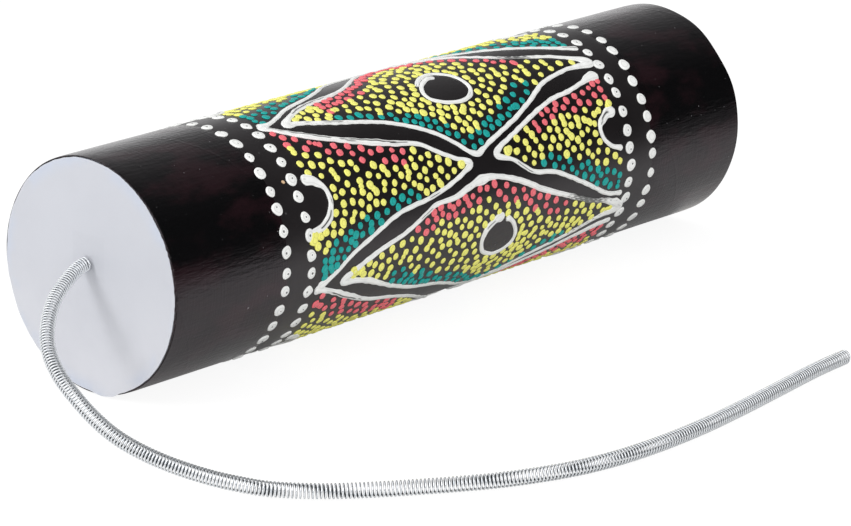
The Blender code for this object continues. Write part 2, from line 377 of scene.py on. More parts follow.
class Wiring:
    """Adds nodes to a tree and joins their sockets."""

    def __init__(self, tree: bpy.types.NodeTree) -> None:
        """Work in one node tree, and know its shader if it has one."""
        self.tree = tree
        self.shader = tree.nodes.get("Principled BSDF")

    def feed(self, socket: Socket, value: Value) -> None:
        """Link a socket into another, or set it to a number or colour."""
        if isinstance(value, bpy.types.NodeSocket):
            self.tree.links.new(value, socket)
        elif socket.type == "RGBA":
            socket.default_value = (*value, 1.0)
        else:
            socket.default_value = value

    def node(self, kind: str, inputs: dict[str, Value] | None = None, **settings) -> bpy.types.Node:
        """Add a shader node.

        Args:
            kind: Its type, without the leading ShaderNode.
            inputs: Values or links for its named inputs.
            settings: Its own properties.

        Returns:
            The new node.
        """
        made = self.tree.nodes.new("ShaderNode" + kind)
        for key, value in settings.items():
            setattr(made, key, value)
        for key, value in (inputs or {}).items():
            self.feed(made.inputs[key], value)
        return made

    def math(self, operation: str, *values: Value, clamp: bool = False) -> Socket:
        """Do one sum on one to three numbers."""
        made = self.node("Math", operation=operation, use_clamp=clamp)
        for socket, value in zip(made.inputs, values):
            self.feed(socket, value)
        return made.outputs[0]

    def total(self, *layers: tuple[float, Socket]) -> Socket:
        """Add up values, each times its share."""
        made = self.math("MULTIPLY", layers[0][1], layers[0][0])
        for share, value in layers[1:]:
            made = self.math("MULTIPLY_ADD", value, share, made)
        return made

    def remap(
        self, value: Value, low: float, high: float, to_low: float = 0.0, to_high: float = 1.0
    ) -> Socket:
        """Carry a range smoothly onto another, held at its ends."""
        made = self.node("MapRange", interpolation_type="SMOOTHSTEP")
        for socket, given in zip(made.inputs, (value, low, high, to_low, to_high)):
            self.feed(socket, given)
        return made.outputs[0]

    def mix(self, share: Value, first: Value, second: Value, way: str = "MIX") -> Socket:
        """Mix two colours; the share is of the second."""
        made = self.node("Mix", data_type="RGBA", blend_type=way)
        for index, value in zip((0, 6, 7), (share, first, second)):
            self.feed(made.inputs[index], value)
        return made.outputs[2]

    def ramp(self, share: Value, stops: tuple[tuple[float, float], ...], span: float, start: float) -> Socket:
        """Grey levels along a ramp.

        Args:
            share: Place on the ramp, 0 to 1.
            stops: Places and levels, the places in the span's own unit.
            span: Length of the ramp in that unit.
            start: Share at which that unit's zero lies.

        Returns:
            The colour.
        """
        made = self.node("ValToRGB", {"Fac": share})
        elements = made.color_ramp.elements
        while len(elements) < len(stops):
            elements.new(0.5)
        for element, (place, level) in zip(elements, stops):
            element.position = place / span + start
            element.color = (level, level, level * 1.01, 1.0)
        return made.outputs["Color"]

    def place(self) -> Socket:
        """The point on the object, in metres."""
        return self.node("TexCoord").outputs["Object"]

    def noise(self, vector: Socket, scale: Value, detail: float = 3.0, roughness: float = 0.5) -> Socket:
        """Cloud noise of about 0 to 1."""
        inputs = {"Vector": vector, "Scale": scale, "Detail": detail, "Roughness": roughness}
        return self.node("TexNoise", inputs).outputs[0]

    def attribute(self, name: str) -> Socket:
        """A value that the mesh carries on its points."""
        return self.node("Attribute", attribute_name=name).outputs["Fac"]

    def bump(self, height: Socket, depth: float) -> Socket:
        """Normal of a surface with that height, whose full range is as deep as given in metres."""
        return self.node("Bump", {"Height": height, "Distance": depth, "Strength": 1.0}).outputs[0]

    def finish(
        self, colour: Value, roughness: Value, height: Socket | None = None, depth: float = 0.0
    ) -> None:
        """Feed the shader.

        Args:
            colour: Its colour.
            roughness: Its roughness.
            height: The surface's height, if it has a relief.
            depth: How deep the relief's full range is, in metres.
        """
        self.feed(self.shader.inputs["Base Color"], colour)
        self.feed(self.shader.inputs["Roughness"], roughness)
        if height is not None:
            self.feed(self.shader.inputs["Normal"], self.bump(height, depth))

    def effect(self, group: bpy.types.NodeTree, **inputs: Value) -> bpy.types.Node:
        """Place a node group with its own values."""
        made = self.node("Group", node_tree=group)
        for key, value in inputs.items():
            self.feed(made.inputs[key.replace("_", " ").capitalize()], value)
        return made


class Effects:
    """Node groups that more than one finish uses, each built once."""

    def __init__(self, places: DrumPlaces) -> None:
        """Build the groups for a drum."""
        self.places = places
        self.dust = self._group("dust", {"Scale": 400.0, "Share": 0.3}, ["Mask"], self._dust)
        self.mottle = self._group("mottle", {"Scale": 60.0, "Stretch": 1.0}, ["Value"], self._mottle)
        # Pit sets how dark the painted ring of shade in each blob of paint is.
        strip, skin = {"Pitch": STRIP, "Lean": 0.5, "Width": 0.5}, {"Pit": 0.2, "Grain": 900.0}
        self.winding = self._group("winding", strip, ["Line"], self._winding)
        self.paint_skin = self._group("paint_skin", skin, ["Shade", "Height"], self._paint)

    def cloud(self, w: Wiring, scale: float, stretch: float = 1.0) -> Socket:
        """Place the mottle: how fine the clouds are, and how far they are drawn out along the drum."""
        return w.effect(self.mottle, scale=scale, stretch=stretch).outputs[0]

    def specks(self, w: Wiring, scale: float, share: float) -> Socket:
        """Place the dust: cells in a metre, and the share of them that holds a speck."""
        return w.effect(self.dust, scale=scale, share=share).outputs[0]

    def seam(self, w: Wiring, width: float) -> Socket:
        """Place the winding's seam, as wide as given in millimetres."""
        return w.effect(self.winding, pitch=STRIP, lean=0.5, width=width).outputs[0]

    def _group(self, name: str, inputs: dict[str, float], outputs: list[str], wire) -> bpy.types.NodeTree:
        """Make a node group.

        Args:
            name: Its name.
            inputs: Its inputs' names and starting values.
            outputs: Its outputs' names.
            wire: Function that takes a Wiring and the input sockets and returns the output sockets.

        Returns:
            The group's tree.
        """
        tree = bpy.data.node_groups.new(name, "ShaderNodeTree")
        for key, value in inputs.items():
            made = tree.interface.new_socket(key, in_out="INPUT", socket_type="NodeSocketFloat")
            made.default_value = value
        for key in outputs:
            tree.interface.new_socket(key, in_out="OUTPUT", socket_type="NodeSocketFloat")
        given = tree.nodes.new("NodeGroupInput")
        taken = tree.nodes.new("NodeGroupOutput")
        results = wire(Wiring(tree), given.outputs)
        for socket, result in zip(taken.inputs, results):
            tree.links.new(result, socket)
        return tree

    def _dust(self, w: Wiring, given) -> list[Socket]:
        """Specks: the middles of some cells of a random mosaic, a twentieth to a tenth of a cell wide."""
        cells = w.node("TexVoronoi", {"Vector": w.place(), "Scale": given["Scale"]})
        pick = w.node("SeparateColor", {"Color": cells.outputs["Color"]})
        size = w.math("MULTIPLY_ADD", pick.outputs["Green"], 0.09, 0.03)
        speck = w.math("LESS_THAN", cells.outputs["Distance"], size)
        chosen = w.math("LESS_THAN", pick.outputs["Red"], given["Share"])
        strength = w.math("MULTIPLY_ADD", pick.outputs["Blue"], 0.8, 0.2)
        return [w.math("MULTIPLY", w.math("MULTIPLY", speck, chosen), strength)]

    def _mottle(self, w: Wiring, given) -> list[Socket]:
        """Cloud noise, drawn out along the drum by the stretch."""
        split = w.node("SeparateXYZ", {"Vector": w.place()})
        along = w.math("DIVIDE", split.outputs["Y"], given["Stretch"])
        drawn = w.node("CombineXYZ", {"X": split.outputs["X"], "Y": along, "Z": split.outputs["Z"]})
        return [w.noise(drawn.outputs[0], given["Scale"], 4.0, 0.55)]

    def _winding(self, w: Wiring, given) -> list[Socket]:
        """Lines of a strip wound round the drum: where (along - lean * arc) / pitch passes a half."""
        split = w.node("SeparateXYZ", {"Vector": w.place()})
        above = w.math("SUBTRACT", split.outputs["Z"], self.places.axis_z)
        angle = w.math("ARCTAN2", split.outputs["X"], above)
        arc = w.math("MULTIPLY", angle, self.places.radius / MM)
        along = w.math("MULTIPLY", w.math("SUBTRACT", split.outputs["Y"], self.places.rim_y), 1 / MM)
        turned = w.math("SUBTRACT", along, w.math("MULTIPLY", arc, given["Lean"]))
        share = w.math("FRACT", w.math("DIVIDE", turned, given["Pitch"]))
        off = w.math("MULTIPLY", w.math("ABSOLUTE", w.math("SUBTRACT", share, 0.5)), given["Pitch"])
        return [w.math("SUBTRACT", 1.0, w.math("DIVIDE", off, given["Width"]), clamp=True)]

    def _paint(self, w: Wiring, given) -> list[Socket]:
        """Thick paint: a tone for each blob, a thin ring of painted shade half way out, a painted highlight
        on the rim, and grain.
        """
        ring, tone = w.attribute("ring"), w.attribute("tone")
        # A thin ring half way out, darkened as painted shade where the bump sinks.
        line = w.math("MULTIPLY", w.remap(ring, 0.40, 0.56), w.remap(ring, 0.56, 0.72, 1.0, 0.0))
        grain = w.noise(w.place(), given["Grain"], 2.0)
        ring_shade = w.math("MULTIPLY", line, given["Pit"])
        # Painted highlight on the rim of each blob or line.
        rim = w.math("MULTIPLY", w.remap(ring, 0.70, 0.95), 0.05)
        shade = w.math("MULTIPLY", tone, w.math("ADD", w.math("SUBTRACT", 1.0, ring_shade), rim))
        height = w.math("SUBTRACT", grain, w.math("MULTIPLY", line, 0.5))
        return [shade, height]


def blank_material(name: str, **sockets: Value) -> tuple[bpy.types.Material, Wiring]:
    """Start a material.

    Args:
        name: Its name.
        sockets: Fixed values of its shader, by socket name with _ for each space.

    Returns:
        The material and the wiring of its tree.
    """
    made = bpy.data.materials.new(name)
    made.use_nodes = True
    wiring = Wiring(made.node_tree)
    for key, value in sockets.items():
        wiring.feed(wiring.shader.inputs[key.replace("_", " ")], value)
    return made, wiring


@dataclass(frozen=True)
class GlossLacquer:
    """Black gloss over wound paper: dark, with ripples, hoops, the paper's seam and dust."""

    name: str = "gloss_lacquer"
    colour: Colour = (0.0036, 0.0036, 0.0040)
    warm: Colour = (0.0150, 0.0065, 0.0085)
    dust_colour: Colour = (0.20, 0.20, 0.21)
    sheen: Colour = (1.0, 0.86, 0.94)
    roughness: float = 0.07
    smear: float = 0.10
    dust_roughness: float = 0.4
    relief: float = 0.00012

    def material(self, effects: Effects) -> bpy.types.Material:
        """Build the material."""
        made, w = blank_material(self.name, IOR=1.5, Specular_Tint=self.sheen)
        fine = w.math("MULTIPLY", effects.specks(w, 650.0, 0.22), 0.7)
        dust = w.math("MAXIMUM", effects.specks(w, 300.0, 0.10), fine)
        haze = effects.cloud(w, 90.0, 2.0)
        tone = w.mix(w.remap(haze, 0.45, 0.65), self.colour, self.warm)
        smear = w.remap(haze, 0.45, 0.75, self.roughness, self.roughness + self.smear)
        ripple, wrinkle = effects.cloud(w, 210.0, 2.2), effects.cloud(w, 1000.0, 5.0)
        hoops, seam = effects.cloud(w, 120.0, 0.07), effects.seam(w, 0.8)
        height = w.total((0.6, ripple), (0.9, wrinkle), (0.5, hoops), (0.25, seam))
        roughness = w.total((1.0, smear), (self.dust_roughness, dust))
        w.finish(w.mix(dust, tone, self.dust_colour), roughness, height, self.relief)
        return made


@dataclass(frozen=True)
class MattPaint:
    """Satin black ground of the painted middle."""

    name: str = "satin_black"
    colour: Colour = (0.0130, 0.0112, 0.0118)
    dust_colour: Colour = (0.10, 0.10, 0.10)
    sheen: Colour = (1.0, 0.93, 0.98)
    spread: tuple[float, float] = (0.8, 1.25)
    relief: float = 0.00004

    def material(self, effects: Effects) -> bpy.types.Material:
        """Build the material."""
        made, w = blank_material(self.name, IOR=1.5, Specular_Tint=self.sheen)
        cloud = effects.cloud(w, 45.0, 1.5)
        darker, lighter = (tuple(share * level for level in self.colour) for share in self.spread)
        tone = w.mix(w.remap(cloud, 0.3, 0.7), darker, lighter)
        tone = w.mix(effects.specks(w, 380.0, 0.12), tone, self.dust_colour)
        roughness = w.remap(cloud, 0.3, 0.75, 0.27, 0.37)
        w.finish(tone, roughness, effects.cloud(w, 700.0, 1.6), self.relief)
        return made


@dataclass(frozen=True)
class KraftCard:
    """Bare wound card of the bore, with its spiral seams."""

    name: str = "kraft_card"
    colour: Colour = linear(158, 128, 94)
    dark: Colour = linear(112, 86, 60)
    light: Colour = linear(186, 160, 124)
    relief: float = 0.00012

    def material(self, effects: Effects) -> bpy.types.Material:
        """Build the material."""
        made, w = blank_material(self.name, Specular_IOR_Level=0.25)
        cloud, fibre = effects.cloud(w, 60.0, 2.0), effects.cloud(w, 1300.0, 0.35)
        seam = effects.seam(w, 0.6)
        tone = w.mix(w.remap(cloud, 0.3, 0.7), self.colour, self.light)
        tone = w.mix(w.remap(fibre, 0.5, 0.8, 0.0, 0.6), tone, self.dark)
        tone = w.mix(w.math("MULTIPLY", seam, 0.8), tone, self.dark)
        height = w.math("SUBTRACT", fibre, seam)
        w.finish(tone, w.remap(fibre, 0.3, 0.7, 0.75, 0.95), height, self.relief)
        return made


@dataclass(frozen=True)
class FilmPlastic:
    """Milky film of the head: clouded, bluish where glue shows near the rim, with a painted highlight along
    its cut edge.

    The washer behind it is painted on as a faint square of shade, and the film is painted lighter low down
    against the shade that falls there. `inward` is in millimetres, the rest in metres.
    """

    washer_shadow_middle: tuple[float, float, float]
    name: str = "milky_film"
    colour: Colour = linear(194, 196, 203)
    # Lighter tone painted low down on the film, against the shade that falls there.
    low: Colour = linear(205, 206, 212)
    glue: Colour = linear(188, 196, 212)
    # Darker film tone, used for the random clouds and for the painted shade of the washer behind.
    behind: Colour = linear(187, 189, 196)
    # Painted highlight along the cut edge.
    edge: Colour = linear(205, 208, 214)
    painted_light_until: float = 0.05
    edge_width: float = 0.5
    glue_width: float = 5.0
    washer_shadow_half: float = 0.0060
    washer_shadow_blur: float = 0.0008
    relief: float = 0.0003

    def material(self, effects: Effects) -> bpy.types.Material:
        """Build the material."""
        made, w = blank_material(self.name, IOR=1.48)
        cloud = effects.cloud(w, 38.0)
        height = w.node("SeparateXYZ", {"Vector": w.place()}).outputs["Z"]
        # Painted light: the film is lighter low down, against the shade that falls there.
        tone = w.mix(w.remap(height, 0.0, self.painted_light_until), self.low, self.colour)
        tone = w.mix(w.remap(cloud, 0.35, 0.7, 0.0, 0.35), tone, self.behind)
        inward = w.attribute("inward")
        near_rim = w.remap(inward, self.edge_width, self.glue_width, 1.0, 0.0)
        patch = w.remap(effects.cloud(w, 52.0), 0.46, 0.62)
        glued = w.math("MULTIPLY", near_rim, patch, clamp=True)
        tone = w.mix(w.math("MULTIPLY", glued, 0.6), tone, self.glue)
        # Painted highlight along the film's cut edge.
        tone = w.mix(w.remap(inward, 0.0, self.edge_width, 0.5, 0.0), tone, self.edge)
        # Painted shadow of the washer behind the film: a soft square, broken up by cloud.
        off = w.node("VectorMath", {0: w.place(), 1: self.washer_shadow_middle}, operation="SUBTRACT")
        sides = w.node("SeparateXYZ", {"Vector": off.outputs["Vector"]}).outputs
        square = w.math("MAXIMUM", *(w.math("ABSOLUTE", sides[axis]) for axis in ("X", "Z")))
        shade = w.remap(square, self.washer_shadow_half, self.washer_shadow_half + self.washer_shadow_blur, 0.45, 0.0)
        uneven = w.remap(effects.cloud(w, 300.0), 0.3, 0.7, 0.5, 1.0)
        tone = w.mix(w.math("MULTIPLY", shade, uneven), tone, self.behind)
        bumps = w.total((0.1, effects.cloud(w, 500.0)), (1.0, cloud))
        w.finish(tone, w.remap(cloud, 0.3, 0.7, 0.34, 0.46), bumps, self.relief)
        return made


@dataclass(frozen=True)
class Adhesive:
    """Clear-milky glue, uneven in tone and thickness."""

    name: str
    colour: Colour
    light: Colour
    roughness: float = 0.25
    relief: float = 0.0002

    def material(self, effects: Effects) -> bpy.types.Material:
        """Build the material."""
        made, w = blank_material(self.name, IOR=1.5)
        cloud = effects.cloud(w, 260.0)
        tone = w.mix(w.remap(cloud, 0.3, 0.7), self.colour, self.light)
        roughness = w.remap(cloud, 0.3, 0.7, self.roughness, self.roughness + 0.15)
        w.finish(tone, roughness, cloud, self.relief)
        return made


@dataclass(frozen=True)
class WasherCard:
    """Grey pressed card with flecks."""

    name: str = "washer_card"
    colour: Colour = linear(150, 146, 140)
    fleck: Colour = linear(92, 88, 84)
    relief: float = 0.0001

    def material(self, effects: Effects) -> bpy.types.Material:
        """Build the material."""
        made, w = blank_material(self.name, Specular_IOR_Level=0.3)
        grain = effects.cloud(w, 1500.0)
        tone = w.mix(w.remap(grain, 0.5, 0.75), self.colour, self.fleck)
        w.finish(tone, w.remap(grain, 0.3, 0.7, 0.6, 0.85), grain, self.relief)
        return made


@dataclass(frozen=True)
class SpringSteel:
    """Bright plated wire with faint drawing marks, and painted shade on the coil's inside."""

    name: str = "plated_wire"
    colour: Colour = (0.86, 0.88, 0.90)
    dull: Colour = (0.70, 0.74, 0.78)
    inside_shade: Colour = (0.10, 0.115, 0.13)
    metallic: float = 0.72
    relief: float = 0.00001

    def material(self, effects: Effects) -> bpy.types.Material:
        """Build the material."""
        made, w = blank_material(self.name, Metallic=self.metallic)
        cloud = effects.cloud(w, 800.0)
        tone = w.mix(w.remap(cloud, 0.45, 0.75), self.colour, self.dull)
        # Painted shade on the coil's inside, where the turns hide one another.
        tone = w.mix(w.remap(w.attribute("inner"), 0.4, 0.8), tone, self.inside_shade)
        marks = effects.cloud(w, 6000.0, 4.0)
        w.finish(tone, w.remap(cloud, 0.3, 0.7, 0.12, 0.22), marks, self.relief)
        return made


class Paint(Enum):
    """The colours that the tube is painted with."""

    WHITE = linear(248, 249, 247)
    YELLOW = linear(255, 252, 130)
    RED = linear(253, 119, 129)
    TEAL = linear(6, 171, 164)


@dataclass(frozen=True)
class ThickPaint:
    """Raised satin paint with a shallow ring-shaped hollow in each blob, darkened by painted shade, and a
    painted highlight on its rim; the ground shows where the groove value is high.
    """

    paint: Paint
    # Strength of the painted shade in each blob's ring.
    pit: float = 0.22
    grain: float = 700.0
    ground: Colour = (0.02, 0.02, 0.02)
    relief: float = 0.00006

    def material(self, effects: Effects) -> bpy.types.Material:
        """Build the material."""
        made, w = blank_material(f"{self.paint.name.lower()}_paint", IOR=1.45)
        skin = w.effect(effects.paint_skin, pit=self.pit, grain=self.grain).outputs
        grey = dict.fromkeys(("Red", "Green", "Blue"), skin["Shade"])
        shade = w.node("CombineColor", grey).outputs[0]
        tone = w.mix(1.0, self.paint.value, shade, "MULTIPLY")
        tone = w.mix(w.attribute("groove"), tone, self.ground)
        w.finish(tone, w.remap(skin["Height"], 0.2, 0.7, 0.32, 0.5), skin["Height"], self.relief)
        return made


@dataclass(frozen=True)
class NibPitShade:
    """Dark flecks that paint the shade in the small pit where the nib lifted."""

    name: str = "nib_pit_shade"
    colour: Colour = (0.05, 0.05, 0.05)
    light: Colour = (0.24, 0.24, 0.24)

    def material(self, effects: Effects) -> bpy.types.Material:
        """Build the material."""
        made, w = blank_material(self.name)
        grain = effects.cloud(w, 3000.0)
        tone = w.mix(w.remap(grain, 0.4, 0.65), self.colour, self.light)
        w.finish(tone, w.remap(grain, 0.3, 0.7, 0.4, 0.7))
        return made


@dataclass(frozen=True)
class CardTube:
    """The wound card tube with its satin middle and the gloss wraps at both ends. Sizes in millimetres."""

    places: DrumPlaces
    effects: Effects
    bore: float = 31.0
    front: float = 1.3
    coat: float = 0.35
    front_wrap_end: float = 45.0
    rear_wrap_start: float = 210.0
    wrap_swell: float = 0.012
    wrap_edge: float = 0.08
    seam_step: float = 0.14
    steps: int = 288

    @property
    def radius(self) -> float:
        """Radius of the painted surface."""
        return self.places.radius / MM

    def swell(self, along: Array, seed: int, depth: float) -> Array:
        """Shallow unevenness of a hand-laid wrap: waves round the tube, times slow waves along it."""
        lean = np.degrees(turns_of(self.steps)) + along * 1.6
        slow = 0.6 + 0.4 * wobble(along, 240, range(1, 5), seed + 1)
        return depth * (wobble(lean, 360, range(3, 9), seed) * slow)

    def sleeve(self, start: float, end: float, top: float, ragged: float, seed: int) -> Shell:
        """A thin wrap round the tube.

        The profile runs along the outside and back along the inside, and its ends wander by `ragged`.

        Args:
            start, end: Where it begins and ends.
            top: Radius of its outside.
            ragged: How far its edges wander.
            seed: Start of the random draws.

        Returns:
            The closed wrap.
        """
        count = max(12, round((end - start) / 2))
        share = np.linspace(0, 1, count)
        angle = np.degrees(turns_of(self.steps))
        wander_start = ragged * wobble(angle, 360, range(2, 14), seed + 2)
        wander_end = ragged * wobble(angle, 360, range(2, 14), seed + 3)
        outside = start + wander_start + share * (end + wander_end - start - wander_start)
        inner = outside[:, [-1, 0]]
        radius_out = top + self.swell(outside, seed, self.wrap_swell)
        radius_out[:, [0, -1]] -= self.wrap_edge
        radius_in = np.full_like(inner, top - self.coat)
        return self.places.turned(np.hstack([radius_out, radius_in]), np.hstack([outside, inner]), self.steps)

    def core(self) -> Shell:
        """The card tube under the paint; its bore has the low step of the wound strip's seam."""
        stations = np.linspace(self.places.length, self.front, 90)
        strip = (stations / STRIP - turns_of(self.steps) / math.pi) % 1.0
        bore = self.bore + self.seam_step * (strip - 0.5)
        outer, end = self.radius - self.coat, self.places.length
        rear = [(outer - 0.25, end), (outer, end - 0.3)]
        front = [(outer, self.front + 0.2), (outer - 0.2, self.front)]
        ring = np.array(front + rear[::-1])
        shape = (self.steps, len(ring))
        radius = np.hstack([np.broadcast_to(ring[:, 0], shape), bore])
        along = np.hstack([np.broadcast_to(ring[:, 1], shape), np.broadcast_to(stations, bore.shape)])
        return self.places.turned(radius, along, self.steps)

    def rim_beads(self) -> Shell:
        """Bead of lacquer round the front edge, beside the film's rim.

        It is thick and lumpy from the top round to the right, thin on the left, and sinks away
        under the film at the bottom: bell curves of the angle from the top.

        Returns:
            The closed bead.
        """
        angle = (np.arange(720) / 2)[:, None]
        lumpy, hidden = bell(angle - 62, 52, 4), bell(angle - 205, 50, 4)
        lumps = wobble(angle, 360, range(40, 130, 3), 31)
        thick = 0.15 + lumpy * (0.16 + 0.09 * lumps) + 0.03 * wobble(angle, 360, range(2, 9), 32)
        around = np.linspace(0, 2 * math.pi, 9)[:-1]
        thick = thick.clip(0.09, 0.42)
        radius = self.radius - 0.30 - 0.35 * hidden + thick * np.cos(around)
        along = 0.30 + 0.35 * hidden + thick * 1.1 * np.sin(around)
        return self.places.turned(radius, along, 720)

    def build(self) -> None:
        """Make the tube, its coat, its wraps and the bead."""
        lacquer = GlossLacquer().material(self.effects)
        satin = MattPaint().material(self.effects)
        core = self.core().piece("card_tube", KraftCard().material(self.effects), sharp=40)
        middle = self.sleeve(self.front_wrap_end - 1, self.rear_wrap_start + 1, self.radius - 0.03, 0.0, 11)
        coat = middle.piece("painted_middle", satin, sharp=40)
        front = self.sleeve(0.5, self.front_wrap_end, self.radius, 0.12, 12)
        front = front.piece("front_wrap", lacquer, sharp=40)
        rear = self.sleeve(self.rear_wrap_start, self.places.length, self.radius, 0.25, 15)
        rear = rear.piece("rear_wrap", lacquer, sharp=40)
        beads = self.rim_beads().piece("rim_beads", lacquer)
        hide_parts("tube")
        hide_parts("front_band")
        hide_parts("rear_band")
        for piece in (core, coat, front, rear, beads):
            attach(piece, "drum")


@dataclass(frozen=True)
class Head:
    """The film at the front with its glue, and what anchors the spring behind it. Sizes in millimetres."""

    places: DrumPlaces
    effects: Effects
    root: Vector
    rim: float = 34.3
    thickness: float = 0.3
    dome: float = 1.2
    hole: float = 0.5
    overhang: float = 0.80
    overhang_at: float = 170.5
    overhang_reach: float = 8.5
    washer_bore: float = 0.65
    washer_edge: float = 0.12
    steps: int = 240

    def bulge(self, radius: Array) -> Array:
        """How far the film stands out of its rim plane: a full cosine wave from the rim to the middle."""
        return self.dome * (1 + np.cos(math.pi * np.clip(radius / self.rim, 0, 1))) / 2

    def film(self) -> Shell:
        """The film: rings between the spring's hole and the hand-cut rim, front and back.

        Each point lies between the hole's circle and the rim's curve in the same direction.

        Returns:
            The closed film, with its distance in from the rim as the value `inward`.
        """
        angle = turns_of(self.steps)
        turn = np.degrees(angle)
        cut = self.rim + 0.08 * wobble(turn, 360, range(3, 17), 41)
        cut = cut + 0.05 * wobble(turn, 360, range(20, 60, 3), 42)
        cut = cut + self.overhang * bell(turn - self.overhang_at, self.overhang_reach, 4)
        share = np.concatenate([[0, 0.02, 0.05], np.linspace(0.09, 0.93, 24), [0.96, 0.98, 0.99, 1.0]])
        hole_x = self.root.x / MM + self.hole * np.sin(angle)
        hole_z = (self.root.z - self.places.axis_z) / MM + self.hole * np.cos(angle)
        x = hole_x + share * (cut * np.sin(angle) - hole_x)
        z = hole_z + share * (cut * np.cos(angle) - hole_z)
        reach = np.hypot(x, z)
        buckle = 0.05 * wobble(turn, 360, range(3, 12), 43) * smoothstep((reach - 22) / 10)
        front = -self.bulge(reach) + buckle * (1 - smoothstep((reach - 32) / 2))
        back = front + self.thickness
        x, z = np.hstack([x, x[:, ::-1]]), np.hstack([z, z[:, ::-1]])
        y = np.hstack([front, back[:, ::-1]])
        points = np.stack([x * MM, self.places.rim_y + y * MM, self.places.axis_z + z * MM], -1)
        inward = np.hstack([cut - reach, (cut - reach)[:, ::-1]])
        faces = [grid_quads(self.steps, x.shape[1], True, True)]
        return Shell(points.reshape(-1, 3), faces, {"inward": inward.ravel()})

    def washer(self) -> Shell:
        """Card washer: a flat ring with rounded edges round the spring's wire."""
        low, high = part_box("retaining_washer")
        outer, inner, edge = (high.x - low.x) / 2 / MM, self.washer_bore, self.washer_edge
        thick = (high.y - low.y) / MM
        ring = [(inner, edge), (inner + edge, 0), (outer - edge, 0), (outer, edge), (outer, thick - edge)]
        ring += [(outer - edge, thick), (inner + edge, thick), (inner, thick - edge)]
        radius, depth = np.array(ring).T
        angle = turns_of(64)
        radius, depth = np.broadcast_arrays(radius, depth + 0 * angle)
        x, z = radius * np.sin(angle) * MM + self.root.x, radius * np.cos(angle) * MM + self.root.z
        points = np.stack([x, low.y + depth * MM, z], -1)
        return Shell(points.reshape(-1, 3), [grid_quads(64, len(ring), True, True)])

    def glue_drop(self) -> Shell:
        """Drop of hot glue over the hook: rings with a wavy outline that rise to the middle like a dome."""
        low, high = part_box("glue_blob")
        reach, tall = (high.x - low.x) / 2 / MM, (high.y - low.y) / MM
        angle = turns_of(72)
        share = np.sin(np.linspace(0, math.pi / 2, 12))[::-1][:-1]
        outline = reach * (0.94 + 0.05 * wobble(np.degrees(angle), 360, range(2, 8), 51))
        radius = outline * share
        top = tall * 0.97
        uneven = 1 + 0.03 * wobble(np.degrees(angle), 360, range(2, 6), 52)
        lift = top * np.sqrt(1 - share**2) * uneven
        x, z = radius * np.sin(angle) * MM + self.root.x, radius * np.cos(angle) * MM + self.root.z
        points = np.stack([x, low.y + lift * MM, z], -1).reshape(-1, 3)
        rings = points.reshape(72, 11, 3)
        hubs = np.array([[self.root.x, y, self.root.z] for y in (low.y + top * MM, low.y)])
        points = np.concatenate([rings.reshape(-1, 3), hubs])
        inner, outer = np.arange(72) * 11 + 10, np.arange(72) * 11
        faces = [grid_quads(72, 11, True), fan(inner, 72 * 11)[:, ::-1], fan(outer, 72 * 11 + 1)]
        return Shell(points, faces)

    def build(self) -> None:
        """Make the film, the washer and the glue."""
        # The film's painted shadow of the washer centres just above the spring's root.
        film_finish = FilmPlastic((self.root.x, self.root.y, self.root.z + 0.002)).material(self.effects)
        film = self.film().piece("film_head", film_finish, sharp=50)
        washer = self.washer().piece("card_washer", WasherCard().material(self.effects), sharp=40)
        hot_glue = Adhesive("hot_glue", linear(214, 205, 178), linear(232, 226, 206))
        drop = self.glue_drop().piece("glue_drop", hot_glue.material(self.effects), sharp=60)
        film_glue = Adhesive("film_glue", linear(168, 184, 210), linear(196, 208, 228))
        ring = frame["nodes"]["glue_ring"]
        ring.data.materials.clear()
        ring.data.materials.append(film_glue.material(self.effects))
        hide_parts("drumhead")
        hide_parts("retaining_washer")
        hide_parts("glue_blob")
        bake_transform(film)
        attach(washer, "anchor")
        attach(drop, "anchor")


